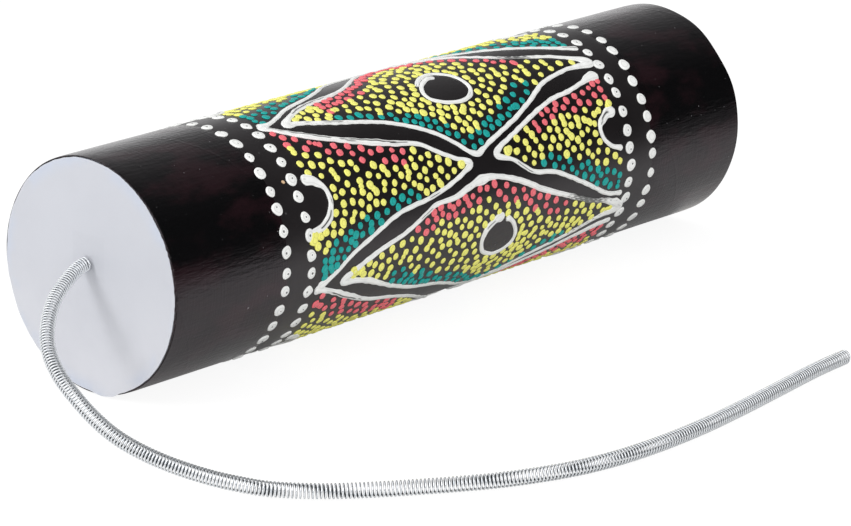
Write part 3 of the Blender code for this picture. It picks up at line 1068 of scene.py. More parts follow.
@dataclass(frozen=True)
class LongSpring:
    """The long loose spring: hook, straight tail and coil in one wire. Sizes in millimetres.
    """

    places: DrumPlaces
    effects: Effects
    root: Vector
    wire: float = 0.28
    coil: float = 1.92
    open_pitch: float = 1.09
    tightening: float = 0.20
    tight_reach: float = 38.0
    turn_points: int = 18
    sides: int = 8
    opening_turns: float = 0.75
    leg: float = 3.0
    bend: float = 0.8
    lying: float = 2.25
    bending: float = 84.0

    LIFTED = (
        (1.0, -5.0, 38.5), (2.3, -10.0, 36.9), (5.4, -18.4, 33.2), (10.3, -25.7, 28.4), (16.8, -31.4, 23.5),
        (24.7, -34.9, 19.0), (33.0, -36.8, 15.1), (41.2, -37.9, 11.5), (49.5, -38.3, 8.5), (57.8, -37.9, 6.4),
        (66.1, -36.8, 4.8), (74.1, -35.3, 3.7), (82.0, -33.4, 2.9), (89.6, -31.2, 2.5),
    )
    LYING = (
        (96.8, -28.4), (104.6, -23.6), (112.2, -17.0), (119.3, -8.9), (126.0, -0.2), (132.4, 8.7),
        (138.4, 18.0), (143.5, 28.3), (147.8, 39.9), (150.6, 53.3), (151.8, 69.1), (151.6, 86.9),
        (149.9, 107.2), (147.3, 129.1), (144.6, 151.8), (143.9, 165.0),
    )

    def route(self) -> Array:
        """Centreline from the hole in the film to the free end, in metres, a point each millimetre."""
        start = (self.root.x / MM, (self.root.y - self.places.rim_y) / MM, self.root.z / MM)
        tail = (start[0], start[1] - 1.1, start[2])
        lying = [(x, y, self.lying) for x, y in self.LYING]
        points = smooth_line(np.array([start, tail, *self.LIFTED, *lying]), 0.5)
        return points * MM + (0, self.places.rim_y, 0)

    def pitch(self, along: Array) -> Array:
        """Distance from turn to turn: the open one, less a bell curve that closes the turns at the drum."""
        return self.open_pitch - self.tightening * bell(along, self.tight_reach)

    def coiled(self, route: Array) -> tuple[Array, Array]:
        """Wire along the coil.

        The phase grows by a turn for each pitch of the centreline. Each point stands off the
        centreline by the coil's radius, along the upward side times the sine of the phase and the
        level side times its cosine.

        Args:
            route: The centreline in metres.

        Returns:
            The wire's points and the directions in which they stand off the centreline.
        """
        along = lengths_along(route) / MM
        turns = np.concatenate([[0], np.cumsum(np.diff(along) / self.pitch(along[1:]))])
        count = int(turns[-1] * self.turn_points)
        wanted = np.arange(count + 1) / self.turn_points
        where = np.interp(wanted, turns, along)
        centre = np.stack([np.interp(where, along, route[:, axis]) for axis in range(3)], 1)
        ahead = np.gradient(centre, axis=0)
        ahead /= np.linalg.norm(ahead, axis=1)[:, None]
        up = np.array([0.0, 0.0, 1.0]) - ahead * ahead[:, 2:3]
        up /= np.linalg.norm(up, axis=1)[:, None]
        level = np.cross(ahead, up)
        phase = (2 * math.pi * wanted)[:, None]
        stand = up * np.sin(phase) + level * np.cos(phase)
        radius = self.coil * MM * np.clip(wanted / self.opening_turns, 0, 1)[:, None]
        return centre + radius * stand, stand

    def hook(self) -> Array:
        """Points of the hook behind the film: down its leg, round a quarter circle, out to the hole."""
        washer_low, washer_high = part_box("retaining_washer")
        back = washer_high.y + (0.3 + self.wire) * MM
        turn = np.linspace(0, math.pi / 2, 8)
        bend_y = back - self.bend * MM * (1 - np.cos(turn))
        bend_z = self.root.z + self.bend * MM * (1 - np.sin(turn))
        leg_z = np.linspace(self.root.z + self.leg * MM, bend_z[0], 6)[:-1]
        out_y = np.linspace(bend_y[-1], self.root.y, 7)[1:-1]
        y = np.concatenate([np.full(5, back), bend_y, out_y])
        z = np.concatenate([leg_z, bend_z, np.full(5, self.root.z)])
        return np.stack([np.full(len(y), self.root.x), y, z], 1)

    def shell(self, route: Array) -> Shell:
        """Sweep the wire's round section along hook and coil, with a flat cut at each end.

        The section's axes are the direction in which the wire stands off its coil, made square to
        the wire, and the direction square to both.

        Args:
            route: The centreline in metres.

        Returns:
            The closed wire, with the value `inner`: 0 on the coil's outside, 1 towards its middle.
        """
        coil, stand = self.coiled(route)
        hook = self.hook()
        points = np.concatenate([hook, coil])
        side = np.concatenate([np.broadcast_to(stand[0], hook.shape), stand])
        ahead = np.gradient(points, axis=0)
        ahead /= np.linalg.norm(ahead, axis=1)[:, None]
        side = side - ahead * (side * ahead).sum(axis=1)[:, None]
        side /= np.linalg.norm(side, axis=1)[:, None]
        other = np.cross(ahead, side)
        angle = np.arange(self.sides) * 2 * math.pi / self.sides
        section = side[:, None] * np.cos(angle)[:, None] + other[:, None] * np.sin(angle)[:, None]
        rings = (points[:, None] + section * self.wire * MM).reshape(-1, 3)
        last = len(rings) - self.sides
        faces = [
            grid_quads(len(points), self.sides, False, True),
            fan(np.arange(self.sides), len(rings)),
            fan(np.arange(self.sides)[::-1] + last, len(rings) + 1),
        ]
        # inner places the painted shade on the coil's inside.
        inner = np.append(np.tile((1 - np.cos(angle)) / 2, len(points)), [0.5, 0.5])
        return Shell(np.concatenate([rings, points[[0, -1]]]), faces, {"inner": inner})

    def build(self) -> None:
        route = self.route()
        made = self.shell(route).piece("long_spring", SpringSteel().material(self.effects))
        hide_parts("spring")
        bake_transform(made)


@dataclass(frozen=True)
class Change:
    """What a line does round a place in (mm, degrees), fading out over its reach. Sizes in millimetres."""

    place: tuple[float, float]
    reach: float
    width: float = 1.5
    split: float = 0.0
    split_at: float = 0.0
    dry: float = 0.0


@dataclass(frozen=True)
class Stroke:
    """A raised white line from a paint bottle: its places in (mm, degrees), its width and changes."""

    points: tuple[tuple[float, float], ...]
    changes: tuple[Change, ...] = ()
    closed: bool = False
    width: float = 1.5

    def turned(self, degrees: float) -> "Stroke":
        """The same stroke carried round the tube."""
        points = tuple((along, turn + degrees) for along, turn in self.points)
        changes = tuple(
            replace(each, place=(each.place[0], each.place[1] + degrees)) for each in self.changes
        )
        return replace(self, points=points, changes=changes)


LOZENGE_A = Stroke((
    (67.8, 20.5), (72, 21), (82, 26), (103, 36), (118, 49), (124, 57), (130.2, 64), (137.2, 60.3),
    (147.4, 54.8), (153, 51.8), (162.5, 45.2), (171.5, 38.3), (179, 35.4), (187, 33.8), (197.5, 33.6),
    (186.5, 23.7), (168, 13), (150, -7), (140, -15), (131, -20), (123, -17), (117, -11.5), (110.5, -4.3),
    (104.8, 0.8), (98.5, 4.6), (92.8, 6.2), (86.1, 7.6), (79.7, 10.1), (73.6, 14.3), (70, 17.4),
), (
    Change((69.2, 19.4), 3.0, width=2.7),
    Change((84.0, 8.6), 12.0, width=2.3, split=1.0),
    Change((131.0, 63.5), 3.0, width=2.0),
    Change((172.0, 15.5), 8.0, width=1.6, dry=0.9),
    Change((195.5, 32.6), 4.5, width=3.0),
), closed=True)
LOZENGE_B = Stroke((
    (69.2, 107.5), (74.3, 102.8), (83.6, 96.8), (95, 91.6), (104.6, 85), (108.5, 82.6), (117.6, 81.6),
    (126.6, 77.7), (131.9, 77), (137, 77.9), (147, 83.4), (157.5, 91.4), (168.8, 98.4), (182.6, 106.7),
    (190.3, 109.6), (198.6, 116.6), (189, 119), (175, 126.5), (161, 133.5), (150, 142), (140, 147.5),
    (125.4, 137.4), (117.8, 132.6), (105.3, 128), (92.9, 120.5), (81, 111.9), (75, 109.4),
), (
    Change((70.4, 107.6), 3.5, width=3.0),
    Change((121.0, 80.3), 6.0, width=2.2),
    Change((130.0, 76.9), 3.2, width=3.6),
    Change((152.0, 87.0), 18.0, width=2.0),
    Change((180.0, 105.0), 12.0, width=1.8, dry=1.0),
    Change((196.0, 115.4), 5.5, width=3.2),
    Change((80.0, 111.0), 10.0, width=2.1),
), closed=True)
LEFT_TOP_A = ((58.4, 16.1), (66, 26), (79, 36.7), (97.6, 46.6), (109, 51.6), (115, 58), (121, 63.4))
LEFT_TOP_B = ((57.3, 17.1), (63, 20), (75, 28.7), (84, 35.3), (95.7, 40.5), (108, 47.5), (118, 57))
LEFT_BOTTOM_A = (
    (126.2, 67.6), (122.1, 71.4), (113.9, 75.7), (106, 78.4), (97.8, 79.8), (91.8, 81.4), (82, 87.4),
    (72, 94.2), (64.3, 102.4), (58.5, 106.9),
)
LEFT_BOTTOM_B = (
    (126.2, 67.6), (120, 70.2), (112, 73.2), (104.2, 77.8), (96.7, 85.3), (88.9, 90.9), (82.1, 94.1),
    (75.2, 97.6), (68.2, 103), (62.8, 106.2), (58.6, 106.2),
)
RIGHT_TOP_A = (
    (196.5, 41.9), (192, 42.2), (187.5, 43.9), (180.8, 46.1), (172, 47.8), (165, 50.6), (158.5, 53.9),
    (151, 58.2), (145.5, 61.3), (141, 64),
)
RIGHT_TOP_B = (
    (197.1, 35.1), (192.3, 35.4), (180.4, 39.8), (172.3, 44.3), (161.5, 49.8), (151.5, 56), (143.5, 61.2),
)
RIGHT_BOTTOM_A = (
    (138.3, 67.2), (144.7, 71.8), (153, 80.5), (163, 84.2), (176.7, 94.4), (190, 105.2), (196.9, 107.2),
)
RIGHT_BOTTOM_B = (
    (138.3, 67.2), (144.7, 71.8), (153, 80.5), (165, 88.5), (179, 98.3), (190, 106.6), (199, 112.4),
)
LEFT_CHEVRON_A = Stroke(LEFT_TOP_A + LEFT_BOTTOM_A, (
    Change((59.6, 17.0), 3.0, width=3.3),
    Change((71.0, 30.4), 10.0, width=2.4, split=1.0, split_at=-0.4),
    Change((91.0, 43.4), 11.0, width=2.5, split=1.0, split_at=-0.45),
    Change((126.0, 67.3), 2.4, width=2.5),
    Change((59.4, 106.3), 2.8, width=3.2),
))
LEFT_CHEVRON_B = Stroke(LEFT_TOP_B + LEFT_BOTTOM_B, (
    Change((58.6, 17.4), 3.0, width=3.2),
    Change((72.0, 26.5), 10.0, width=2.2, split=0.9, split_at=0.4),
    Change((126.0, 67.3), 2.4, width=2.5),
    Change((59.6, 107.0), 2.6, width=3.0),
))
RIGHT_CHEVRON_A = Stroke(RIGHT_TOP_A + RIGHT_BOTTOM_A, (
    Change((194.6, 41.6), 4.4, width=3.7),
    Change((138.9, 66.2), 2.6, width=2.4),
    Change((196.4, 107.0), 1.6, width=2.0),
))
RIGHT_CHEVRON_B = Stroke(RIGHT_TOP_B + RIGHT_BOTTOM_B, (
    Change((192.0, 35.8), 9.0, width=2.5),
    Change((138.9, 66.2), 2.6, width=2.4),
    Change((196.5, 111.2), 5.0, width=2.2, split=0.8),
))
LEFT_CRESCENT = Stroke((
    (57.9, 52.1), (60.3, 53.2), (62.6, 54.6), (64.9, 58.5), (65.9, 63.1), (65.7, 67.1), (64.6, 70.8),
    (62.9, 74.3), (60, 76.9), (57.2, 77.9), (55.4, 78.1),
), (
    Change((60.3, 53.2), 4.4, width=3.6),
    Change((62.6, 74.4), 4.6, width=2.7, split=1.0, split_at=0.1),
    Change((56.0, 78.0), 2.6, width=2.4),
))
RIGHT_CRESCENT = Stroke((
    (195.8, 62.3), (191, 63.6), (186.9, 68.9), (187.3, 74.7), (190.9, 80), (195.5, 82.4),
), (
    Change((194.2, 62.6), 4.6, width=4.0),
    Change((190.6, 64.6), 3.0, width=3.0, split=0.8, split_at=0.3),
    Change((195.4, 82.3), 1.6, width=2.1),
))
EYE_A = Stroke((
    (136.4, 14.6), (134.4, 13.9), (130.9, 15.6), (127.3, 19.7), (125.3, 24.4), (125.4, 28.7), (128.1, 32.2),
    (132.3, 34.5), (137, 35), (141.2, 33), (143.5, 29), (144, 23.6), (143, 18.2), (140.4, 13.6), (137.4, 11),
    (133, 11.1), (129.2, 14), (126.2, 18),
), (
    Change((135.6, 14.3), 2.2, width=2.0),
))
EYE_B = Stroke((
    (139.6, 98.7), (137, 99.2), (134.9, 100.6), (132.3, 103.6), (131.1, 108.1), (131.6, 113), (133.7, 117.6),
    (137.3, 120.6), (140.9, 121.5), (144, 120), (146.4, 117.1), (147, 113.1), (145.9, 107.8), (144, 103.7),
    (142, 101.3), (140.4, 100.7),
), (
    Change((137.8, 99.1), 3.6, width=3.4),
    Change((133.0, 102.5), 4.0, width=2.5),
))


@dataclass(frozen=True)
class Run:
    """Where one colour lines a border: from where to where, and how deep at either end. Millimetres."""

    start: float
    end: float
    deep_start: float
    deep_end: float

    def depth(self, along: Array) -> Array:
        """How far from the border the colour reaches: a straight change from end to end, and none outside."""
        share = (along - self.start) / (self.end - self.start)
        deep = self.deep_start + (self.deep_end - self.deep_start) * share
        return np.where((share > 0) & (share < 1), deep, 0)


@dataclass(frozen=True)
class Cell:
    """A field of small dots: its flat outline, where its upper and lower borders run, and what stays bare."""

    outline: Array
    upper: Array
    lower: Array
    bare: Array
    red: Run
    teal: Run

    CLOSER = np.array([0.74, 1.0])

    def samples(self, rng: np.random.Generator, margin: float, step: float = 0.62) -> tuple[Array, float]:
        """Places that cover the field evenly: a square grid, each of its places shaken within its own square.

        Args:
            rng: The random draws.
            margin: Distance kept from the borders.
            step: Side of a square.

        Returns:
            The places that lie in the field, and the field's area.
        """
        low, high = self.outline.min(axis=0), self.outline.max(axis=0)
        grid = np.stack(np.meshgrid(*(np.arange(a, b, step) for a, b in zip(low, high))), -1).reshape(-1, 2)
        drawn = grid + rng.uniform(0, step, grid.shape)
        kept = inside(drawn, self.outline) & (distance_to(drawn, self.outline, True) > margin)
        kept &= ~inside(drawn, self.bare) & (distance_to(drawn, self.bare, True) > margin)
        return drawn[kept], float(step**2 * kept.sum())

    def spread(self, rng: np.random.Generator, dot_area: float, rounds: int = 36) -> Array:
        """Share the field out among dots.

        Dots start at random places; each round moves every dot to the mean of the samples that are
        nearest to it. Distances along the drum count less, so the dots stand closer round the drum.

        Args:
            rng: The random draws.
            dot_area: Square millimetres for each dot.
            rounds: How often they move.

        Returns:
            The dots' middles, (n, 2).
        """
        samples, area = self.samples(rng, 0.8)
        samples = samples * self.CLOSER
        count = round(area / dot_area)
        dots = samples[rng.choice(len(samples), count, replace=False)]
        for _ in range(rounds):
            squares = (samples**2).sum(1)[:, None] - 2 * samples @ dots.T + (dots**2).sum(1)
            nearest = squares.argmin(axis=1)
            held = np.bincount(nearest, minlength=count)
            sums = np.stack([np.bincount(nearest, samples[:, axis], count) for axis in range(2)], 1)
            dots = np.where(held[:, None] > 0, sums / np.maximum(held, 1)[:, None], dots)
        return dots / self.CLOSER

    def colours(self, dots: Array, rng: np.random.Generator) -> Array:
        """Pick each dot's paint: red in the run along the upper border, teal along the lower, else yellow.

        Args:
            dots: The dots' middles.
            rng: The random draws.

        Returns:
            The index of each dot's paint among YELLOW, RED, TEAL.
        """
        picked = np.zeros(len(dots), int)
        uneven = rng.normal(0, 0.3, len(dots))
        for number, border, run in ((1, self.upper, self.red), (2, self.lower, self.teal)):
            picked[distance_to(dots, border) + uneven < run.depth(dots[:, 0])] = number
        return picked


@dataclass(frozen=True)
class WhiteRow:
    """A ring of white dots: the first one's place, their number and the ring's drift along the drum."""

    start: float
    count: int
    drift: tuple[tuple[float, float], ...]
    nibbed: bool = True

    def middles(self, rng: np.random.Generator) -> Array:
        """Places in (mm, degrees): equal steps round the tube, on straight stretches of the drift."""
        turns = self.start + 360 / self.count * np.arange(self.count)
        degrees, along = np.array(self.drift).T
        middles = np.column_stack([np.interp(turns, degrees, along, period=360), turns])
        return middles + rng.normal(0, (0.15, 0.35), (self.count, 2))


@dataclass(frozen=True)
class Painting:
    """The dotted and lined decoration of the tube's middle. Sizes in millimetres.

    `smeared` is the share of the yellow dots, and of the others, that run into a neighbour, and
    `spilled` that of the coloured dots beside a yellow one that it runs into.
    """

    places: DrumPlaces
    effects: Effects
    dot: float = 1.12
    dot_area: float = 10.9
    dot_height: float = 0.34
    white_dot: float = 1.8
    line_height: float = 0.42
    sink: float = 0.07
    nib_height: float = 0.40
    loose_height: float = 0.62
    smeared: tuple[float, float] = (0.10, 0.05)
    spilled: float = 0.25

    ROWS = (
        WhiteRow(3.2, 36, (
            (0, 45.7), (23, 45.7), (43, 45.0), (68, 44.5), (100, 44.4), (142, 43.2), (250, 45.2),
        )),
        WhiteRow(3.0, 38, ((4, 56.2), (12, 56.2), (35, 55.4), (60, 54.3), (107, 54.5), (250, 55.6))),
        WhiteRow(-2.0, 38, (
            (0, 202.0), (10, 202.0), (27, 200.4), (50, 199.7), (80, 198.9), (117, 200.1), (250, 201),
        )),
        WhiteRow(-9.5, 36, (
            (0, 211.7), (20, 211.7), (53, 209.3), (90, 210.0), (128, 210.7), (250, 211.0),
        ), nibbed=False),
    )
    # Loose drops: along, round and radius.
    LOOSE = (
        (55.9, 81.7, 1.6), (57.3, 85.1, 1.3), (58.8, 80.8, 1.2), (56.5, 79.5, 1.5), (122.4, 66.9, 1.45),
        (73.4, 103.6, 1.6), (76.8, 105.6, 1.1), (143.4, 67.1, 1.6), (147.1, 68.6, 1.1), (194.2, 58.3, 1.3),
    )
    CHIP = (51.2, 50.9)
    FLAKE = np.array([(0.0, 1.0), (0.6, 0.98), (0.95, 0.9)])

    def ribbon(self, line: Array, stroke: Stroke, seed: int) -> Shell:
        """Raise a line of paint along a flat path.

        The section is a flattened half ellipse: its height is the stroke's height times
        (1 - |u| to the 2.6) to the 0.6, with u from -1 to 1 across the width, and it closes just
        below the tube's surface. Both edges wander on their own. The stroke's changes act by a bell
        curve of the distance from their place. In a groove, and where the brush ran dry, the paint
        is thin and the ground shows.

        Args:
            line: The path's flat places, evenly spaced.
            stroke: Its width and changes.
            seed: Start of the random draws.

        Returns:
            The closed ribbon with its values tone, ring and groove.
        """
        along = lengths_along(line)
        total = along[-1]
        tangent = np.gradient(line, axis=0)
        if stroke.closed:
            tangent = (np.roll(line, -1, axis=0) - np.roll(line, 1, axis=0)) / 2
            total += float(np.linalg.norm(line[0] - line[-1]))
        tangent /= np.linalg.norm(tangent, axis=1)[:, None]
        across = np.stack([-tangent[:, 1], tangent[:, 0]], 1)
        width = np.full(len(line), stroke.width)
        split, split_at, dry = np.zeros((3, len(line)))
        for change in stroke.changes:
            off = np.linalg.norm(line - self.places.flat([change.place]), axis=1)
            here = bell(off, change.reach)
            width += (change.width - width) * here
            split_at += (change.split_at - split_at) * here
            split, dry = np.maximum(split, change.split * here), np.maximum(dry, change.dry * here)
        waves = range(max(3, int(total / 30)), max(6, int(total / 3.5)))
        left = width / 2 * (1 + 0.10 * wobble(along, total, waves, seed))
        right = width / 2 * (1 + 0.10 * wobble(along, total, waves, seed + 1))
        tall = self.line_height * (1 + 0.15 * wobble(along, total, waves, seed + 2))
        tall = tall * np.minimum(1.3, width / 1.5)
        if not stroke.closed:
            to_end = np.minimum(along, total - along)
            tip = np.sqrt(1 - (1 - np.clip(to_end / (0.5 * width), 0, 1)) ** 2).clip(0.08)
            left, right, tall = left * tip, right * tip, tall * tip.clip(0.3)
        u = np.sin(np.linspace(-math.pi / 2, math.pi / 2, 17))
        reach = np.where(u < 0, left[:, None], right[:, None]) * u
        slow = range(2, max(5, int(total / 14)))
        groove_on = smoothstep((wobble(along, total, slow, seed + 3) - 0.95) / 0.3)
        groove_at = 0.35 * wobble(along, total, range(1, 5), seed + 4)
        groove = groove_on[:, None] * bell(u - groove_at[:, None], 0.16)
        streaks = smoothstep(4 * split - 1.4 + 0.7 * wobble(along, total, waves, seed + 6))
        wander = split_at + 0.07 * wobble(along, total, waves, seed + 8)
        groove = np.maximum(groove, streaks[:, None] * bell(u - wander[:, None], 0.21, 4))
        ragged = wobble(along[:, None] * 1.7 + 29 * u, total, waves, seed + 7)
        groove = np.maximum(groove, smoothstep(2.2 * dry[:, None] - 0.9 + 0.6 * ragged) * 0.85)
        height = tall[:, None] * np.clip(1 - np.abs(u) ** 2.6, 0, 1) ** 0.6 * (1 - 0.6 * groove)
        under = np.array([0.85, -0.85])
        reach = np.hstack([reach, np.where(under < 0, left[:, None], right[:, None]) * under])
        height = np.hstack([height, np.full((len(line), 2), -self.sink)])
        flat = line[:, None] + reach[..., None] * across[:, None]
        points = self.places.wrap(flat[..., 0], flat[..., 1], height)
        rows, columns = points.shape[:2]
        faces = [grid_quads(rows, columns, stroke.closed, True)]
        points = points.reshape(-1, 3)
        zero = np.zeros((rows, 2))
        # ring runs across each line and places its painted shade lines and painted edge highlights.
        values = {
            "tone": np.repeat(0.97 + 0.03 * wobble(along, total, waves, seed + 5), columns),
            "ring": np.hstack([np.broadcast_to(np.abs(u), groove.shape), zero + 1]).ravel(),
            "groove": np.hstack([groove, zero]).ravel(),
        }
        if not stroke.closed:
            first, last = np.arange(columns), np.arange(columns) + (rows - 1) * columns
            hubs = np.stack([points[first].mean(axis=0), points[last].mean(axis=0)])
            faces += [fan(first, len(points)), fan(last[::-1], len(points) + 1)]
            points = np.concatenate([points, hubs])
            values = {key: np.concatenate([value, value[:2]]) for key, value in values.items()}
        return Shell(points, faces, values)

    def stroke(self, stroke: Stroke, seed: int) -> Shell:
        """Draw one stroke on the tube."""
        line = smooth_line(self.places.flat(stroke.points), 0.42, stroke.closed)
        return self.ribbon(line, stroke, seed)

    def blobs(
        self, middles: Array, radii: Array, heights: Array, seed: int, segments: int, rings: Array
    ) -> Shell:
        """Raise drops of paint.

        A drop's outline is a circle times one plus three seeded cosine waves, stretched one way.
        Its rings stand at the given shares of the outline, with the given shares of its height, and
        its floor lies just under the tube's surface.

        Args:
            middles: Flat places of the drops, (n, 2).
            radii: Their radii.
            heights: Their heights.
            seed: Start of the random draws.
            segments: Sides of each outline.
            rings: Rows of (share of the radius, share of the height), from the middle outwards.

        Returns:
            All drops, with the values tone, ring and groove.
        """
        rng = np.random.default_rng(seed)
        count = len(middles)
        angle = np.arange(segments) * 2 * math.pi / segments
        starts, depths = rng.uniform(0, 2 * math.pi, (count, 3)), rng.normal(0, 0.03, (count, 3))
        waves = (np.cos(angle[:, None] * (2, 3, 4) + starts[:, None]) * depths[:, None]).sum(-1)
        lean, stretch = rng.uniform(0, math.pi, (count, 1)), rng.uniform(0, 0.16, (count, 1))
        outline = radii[:, None] * (1 + waves) * (1 + stretch * np.cos(angle - lean) ** 2)
        share = np.concatenate([rings[1:, 0], [1.0]])
        lift = np.concatenate([rings[1:, 1], [0.0]])
        reach = outline[:, None, :] * share[:, None]
        along = middles[:, 0, None, None] + reach * np.cos(angle)
        arc = middles[:, 1, None, None] + reach * np.sin(angle)
        sunk = np.where(lift > 0, 0, -self.sink)
        height = heights[:, None, None] * lift[:, None] + sunk[:, None] + 0 * angle
        skin = self.places.wrap(along, arc, height).reshape(count, -1, 3)
        top = self.places.wrap(middles[:, 0], middles[:, 1], heights * rings[0, 1])[:, None]
        floor = self.places.wrap(middles[:, 0], middles[:, 1], np.full(count, -self.sink))[:, None]
        points = np.concatenate([skin, top, floor], axis=1)
        size, levels = points.shape[1], len(share)
        ring = np.arange(segments)
        quads = grid_quads(levels, segments, False, True)
        crown, base = fan(ring, size - 2)[:, ::-1], fan(ring + (levels - 1) * segments, size - 1)
        step = (np.arange(count) * size)[:, None, None]
        faces = [(part + step).reshape(-1, part.shape[1]) for part in (quads, crown, base)]
        tone = np.repeat(rng.uniform(0.94, 1.0, count), size)
        # ring runs from the middle to the outline and places each blob's painted shade ring and rim
        # highlight.
        place = np.tile(np.concatenate([np.repeat(share, segments), [0.0, 1.0]]), count)
        values = {"tone": tone, "ring": place, "groove": np.zeros(count * size)}
        return Shell(points.reshape(-1, 3), faces, values)

    def cells(self) -> list[Cell]:
        """The fields of small dots: four lozenges, and four half cells at either end."""
        made = []
        for quarter in range(4):
            stroke, eye = (LOZENGE_A, EYE_A) if quarter % 2 == 0 else (LOZENGE_B, EYE_B)
            turn = 180 * (quarter // 2)
            outline = smooth_line(self.places.flat(stroke.turned(turn).points), 1.2, True)
            left, right = outline[:, 0].argmin(), outline[:, 0].argmax()
            if left < right:
                one, two = outline[left:right + 1], outline[right:]
            else:
                one = np.concatenate([outline[left:], outline[:right + 1]])
                two = outline[right:left + 1]
            lower, upper = (one, two) if one[:, 1].mean() > two[:, 1].mean() else (two, one)
            bare = smooth_line(self.places.flat(eye.turned(turn).points[3:-1]), 0.8, True)
            red = Run(87, 173, 7.0, 4.2) if stroke is LOZENGE_A else Run(99, 170, 5.6, 7.0)
            teal = Run(87, 167, 4.4, 7.4) if stroke is LOZENGE_A else Run(91, 175, 6.8, 4.2)
            made.append(Cell(outline, upper, lower, bare, red, teal))
        left_red, left_teal = Run(40, 103, 7.4, 7.0), Run(40, 104, 11.5, 4.0)
        right_red, right_teal = Run(157, 206, 4.6, 9.0), Run(154, 206, 4.2, 8.8)
        for quarter in range(4):
            turn, odd = 90 * quarter, quarter % 2 == 1
            arms = (LEFT_TOP_B, LEFT_BOTTOM_B) if odd else (LEFT_TOP_A, LEFT_BOTTOM_A)
            made.append(self.half_cell(*arms, LEFT_CRESCENT, turn, 57.9, left_red, left_teal))
            arms = (RIGHT_TOP_B, RIGHT_BOTTOM_B) if odd else (RIGHT_TOP_A, RIGHT_BOTTOM_A)
            made.append(self.half_cell(*arms, RIGHT_CRESCENT, turn, 198.2, right_red, right_teal))
        return made

    def half_cell(
        self, top: tuple, bottom: tuple, crescent: Stroke, turn: float, base: float, red: Run, teal: Run
    ) -> Cell:
        """A field between a chevron and the white rows.

        Args:
            top, bottom: The chevron's two arms, in the order in which they are drawn.
            crescent: The crescent in the field's mouth.
            turn: Degrees by which the field is carried round.
            base: Where the field ends towards the white rows.
            red, teal: Where each colour lines its border.

        Returns:
            The field.
        """
        shift = np.array([0.0, turn])
        upper = smooth_line(self.places.flat(np.array(top + bottom[:1]) + shift), 1.2)
        lower = smooth_line(self.places.flat(np.array(top[-1:] + bottom) + shift), 1.2)
        upper, lower = upper[np.argsort(upper[:, 0])], lower[np.argsort(-lower[:, 0])]
        if base > 100:
            upper, lower = upper[::-1], lower[::-1]
        outline = np.concatenate([upper, lower])
        outline[:, 0] = np.maximum(outline[:, 0], base) if base < 100 else np.minimum(outline[:, 0], base)
        arc = smooth_line(self.places.flat(np.array(crescent.points) + shift), 1.0)
        back = -6.0 if base < 100 else 6.0
        bare = np.concatenate([arc, arc[[-1, 0]] + (back, 0)])
        return Cell(outline, upper, lower, bare, red, teal)

    def small_dots(self) -> None:
        """Fill the fields with yellow, red and teal dots, some run into a neighbour, and a few loose ones."""
        rng = np.random.default_rng(61)
        groups: list[list[Array]] = [[], [], []]
        for cell in self.cells():
            dots = cell.spread(rng, self.dot_area)
            dots = dots + rng.normal(0, 0.2, dots.shape)
            picked = cell.colours(dots, rng)
            gaps = np.linalg.norm(dots[:, None] - dots, axis=-1) + np.eye(len(dots)) * 1e3
            nearest = gaps.argmin(axis=1)
            smeared = rng.random(len(dots)) < np.where(picked == 0, *self.smeared)
            bridge = dots + (dots[nearest] - dots) * rng.uniform(0.35, 0.5, (len(dots), 1))
            edge = (picked > 0) & (picked[nearest] == 0) & (rng.random(len(dots)) < self.spilled)
            radii = self.dot * rng.normal(1.0, 0.10, len(dots)).clip(0.75, 1.25)
            heights = self.dot_height * rng.uniform(0.85, 1.15, len(dots))
            for number in range(3):
                mine = picked == number
                groups[number].append(np.column_stack([dots, radii, heights])[mine])
                spill = smeared & mine & (picked[nearest] == number)
                groups[number].append(np.column_stack([bridge, radii * 0.78, heights * 0.97])[spill])
            groups[0].append(np.column_stack([bridge, radii * 0.85, heights * 1.2])[edge])
        loose = np.array(self.LOOSE)
        tall = np.full(len(loose), self.loose_height)
        groups[0].append(np.column_stack([self.places.flat(loose[:, :2]), loose[:, 2], tall]))
        rings = np.array([(0.0, 0.86), (0.5, 1.0), (0.86, 0.72), (0.985, 0.22)])
        for number, paint in enumerate((Paint.YELLOW, Paint.RED, Paint.TEAL)):
            rows = np.concatenate(groups[number])
            shell = self.blobs(rows[:, :2], rows[:, 2], rows[:, 3], 70 + number, 12, rings)
            name = f"{paint.name.lower()}_dots"
            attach(shell.piece(name, ThickPaint(paint).material(self.effects)), "drum")
            LOG.info("%s: %d dots", name, len(rows))

    def white_rows(self, white: bpy.types.Material) -> None:
        """Two rows of larger white dots at each end of the painting, most with an off-centre fleck of painted
        shade where the nib lifted.
        """
        rng = np.random.default_rng(81)
        middles = np.concatenate([self.places.flat(row.middles(rng)) for row in self.ROWS])
        marked = np.concatenate([np.full(row.count, row.nibbed) for row in self.ROWS])
        radii = self.white_dot * rng.normal(1.0, 0.06, len(middles)).clip(0.85, 1.15)
        heights = np.full(len(middles), 0.4)
        rings = np.array([(0.0, 0.80), (0.3, 0.88), (0.62, 1.0), (0.88, 0.68), (0.985, 0.2)])
        shell = self.blobs(middles, radii, heights, 82, 18, rings)
        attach(shell.piece("white_dots", white), "drum")
        # Dark flecks of painted shade in the pits where the nib lifted.
        spots = middles[marked] + rng.normal(0, 0.3, (int(marked.sum()), 2))
        sizes = rng.uniform(0.22, 0.42, len(spots))
        tall = np.full(len(spots), self.nib_height)
        pits = self.blobs(spots, sizes, tall, 83, 9, self.FLAKE)
        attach(pits.piece("nib_marks", NibPitShade().material(self.effects)), "drum")

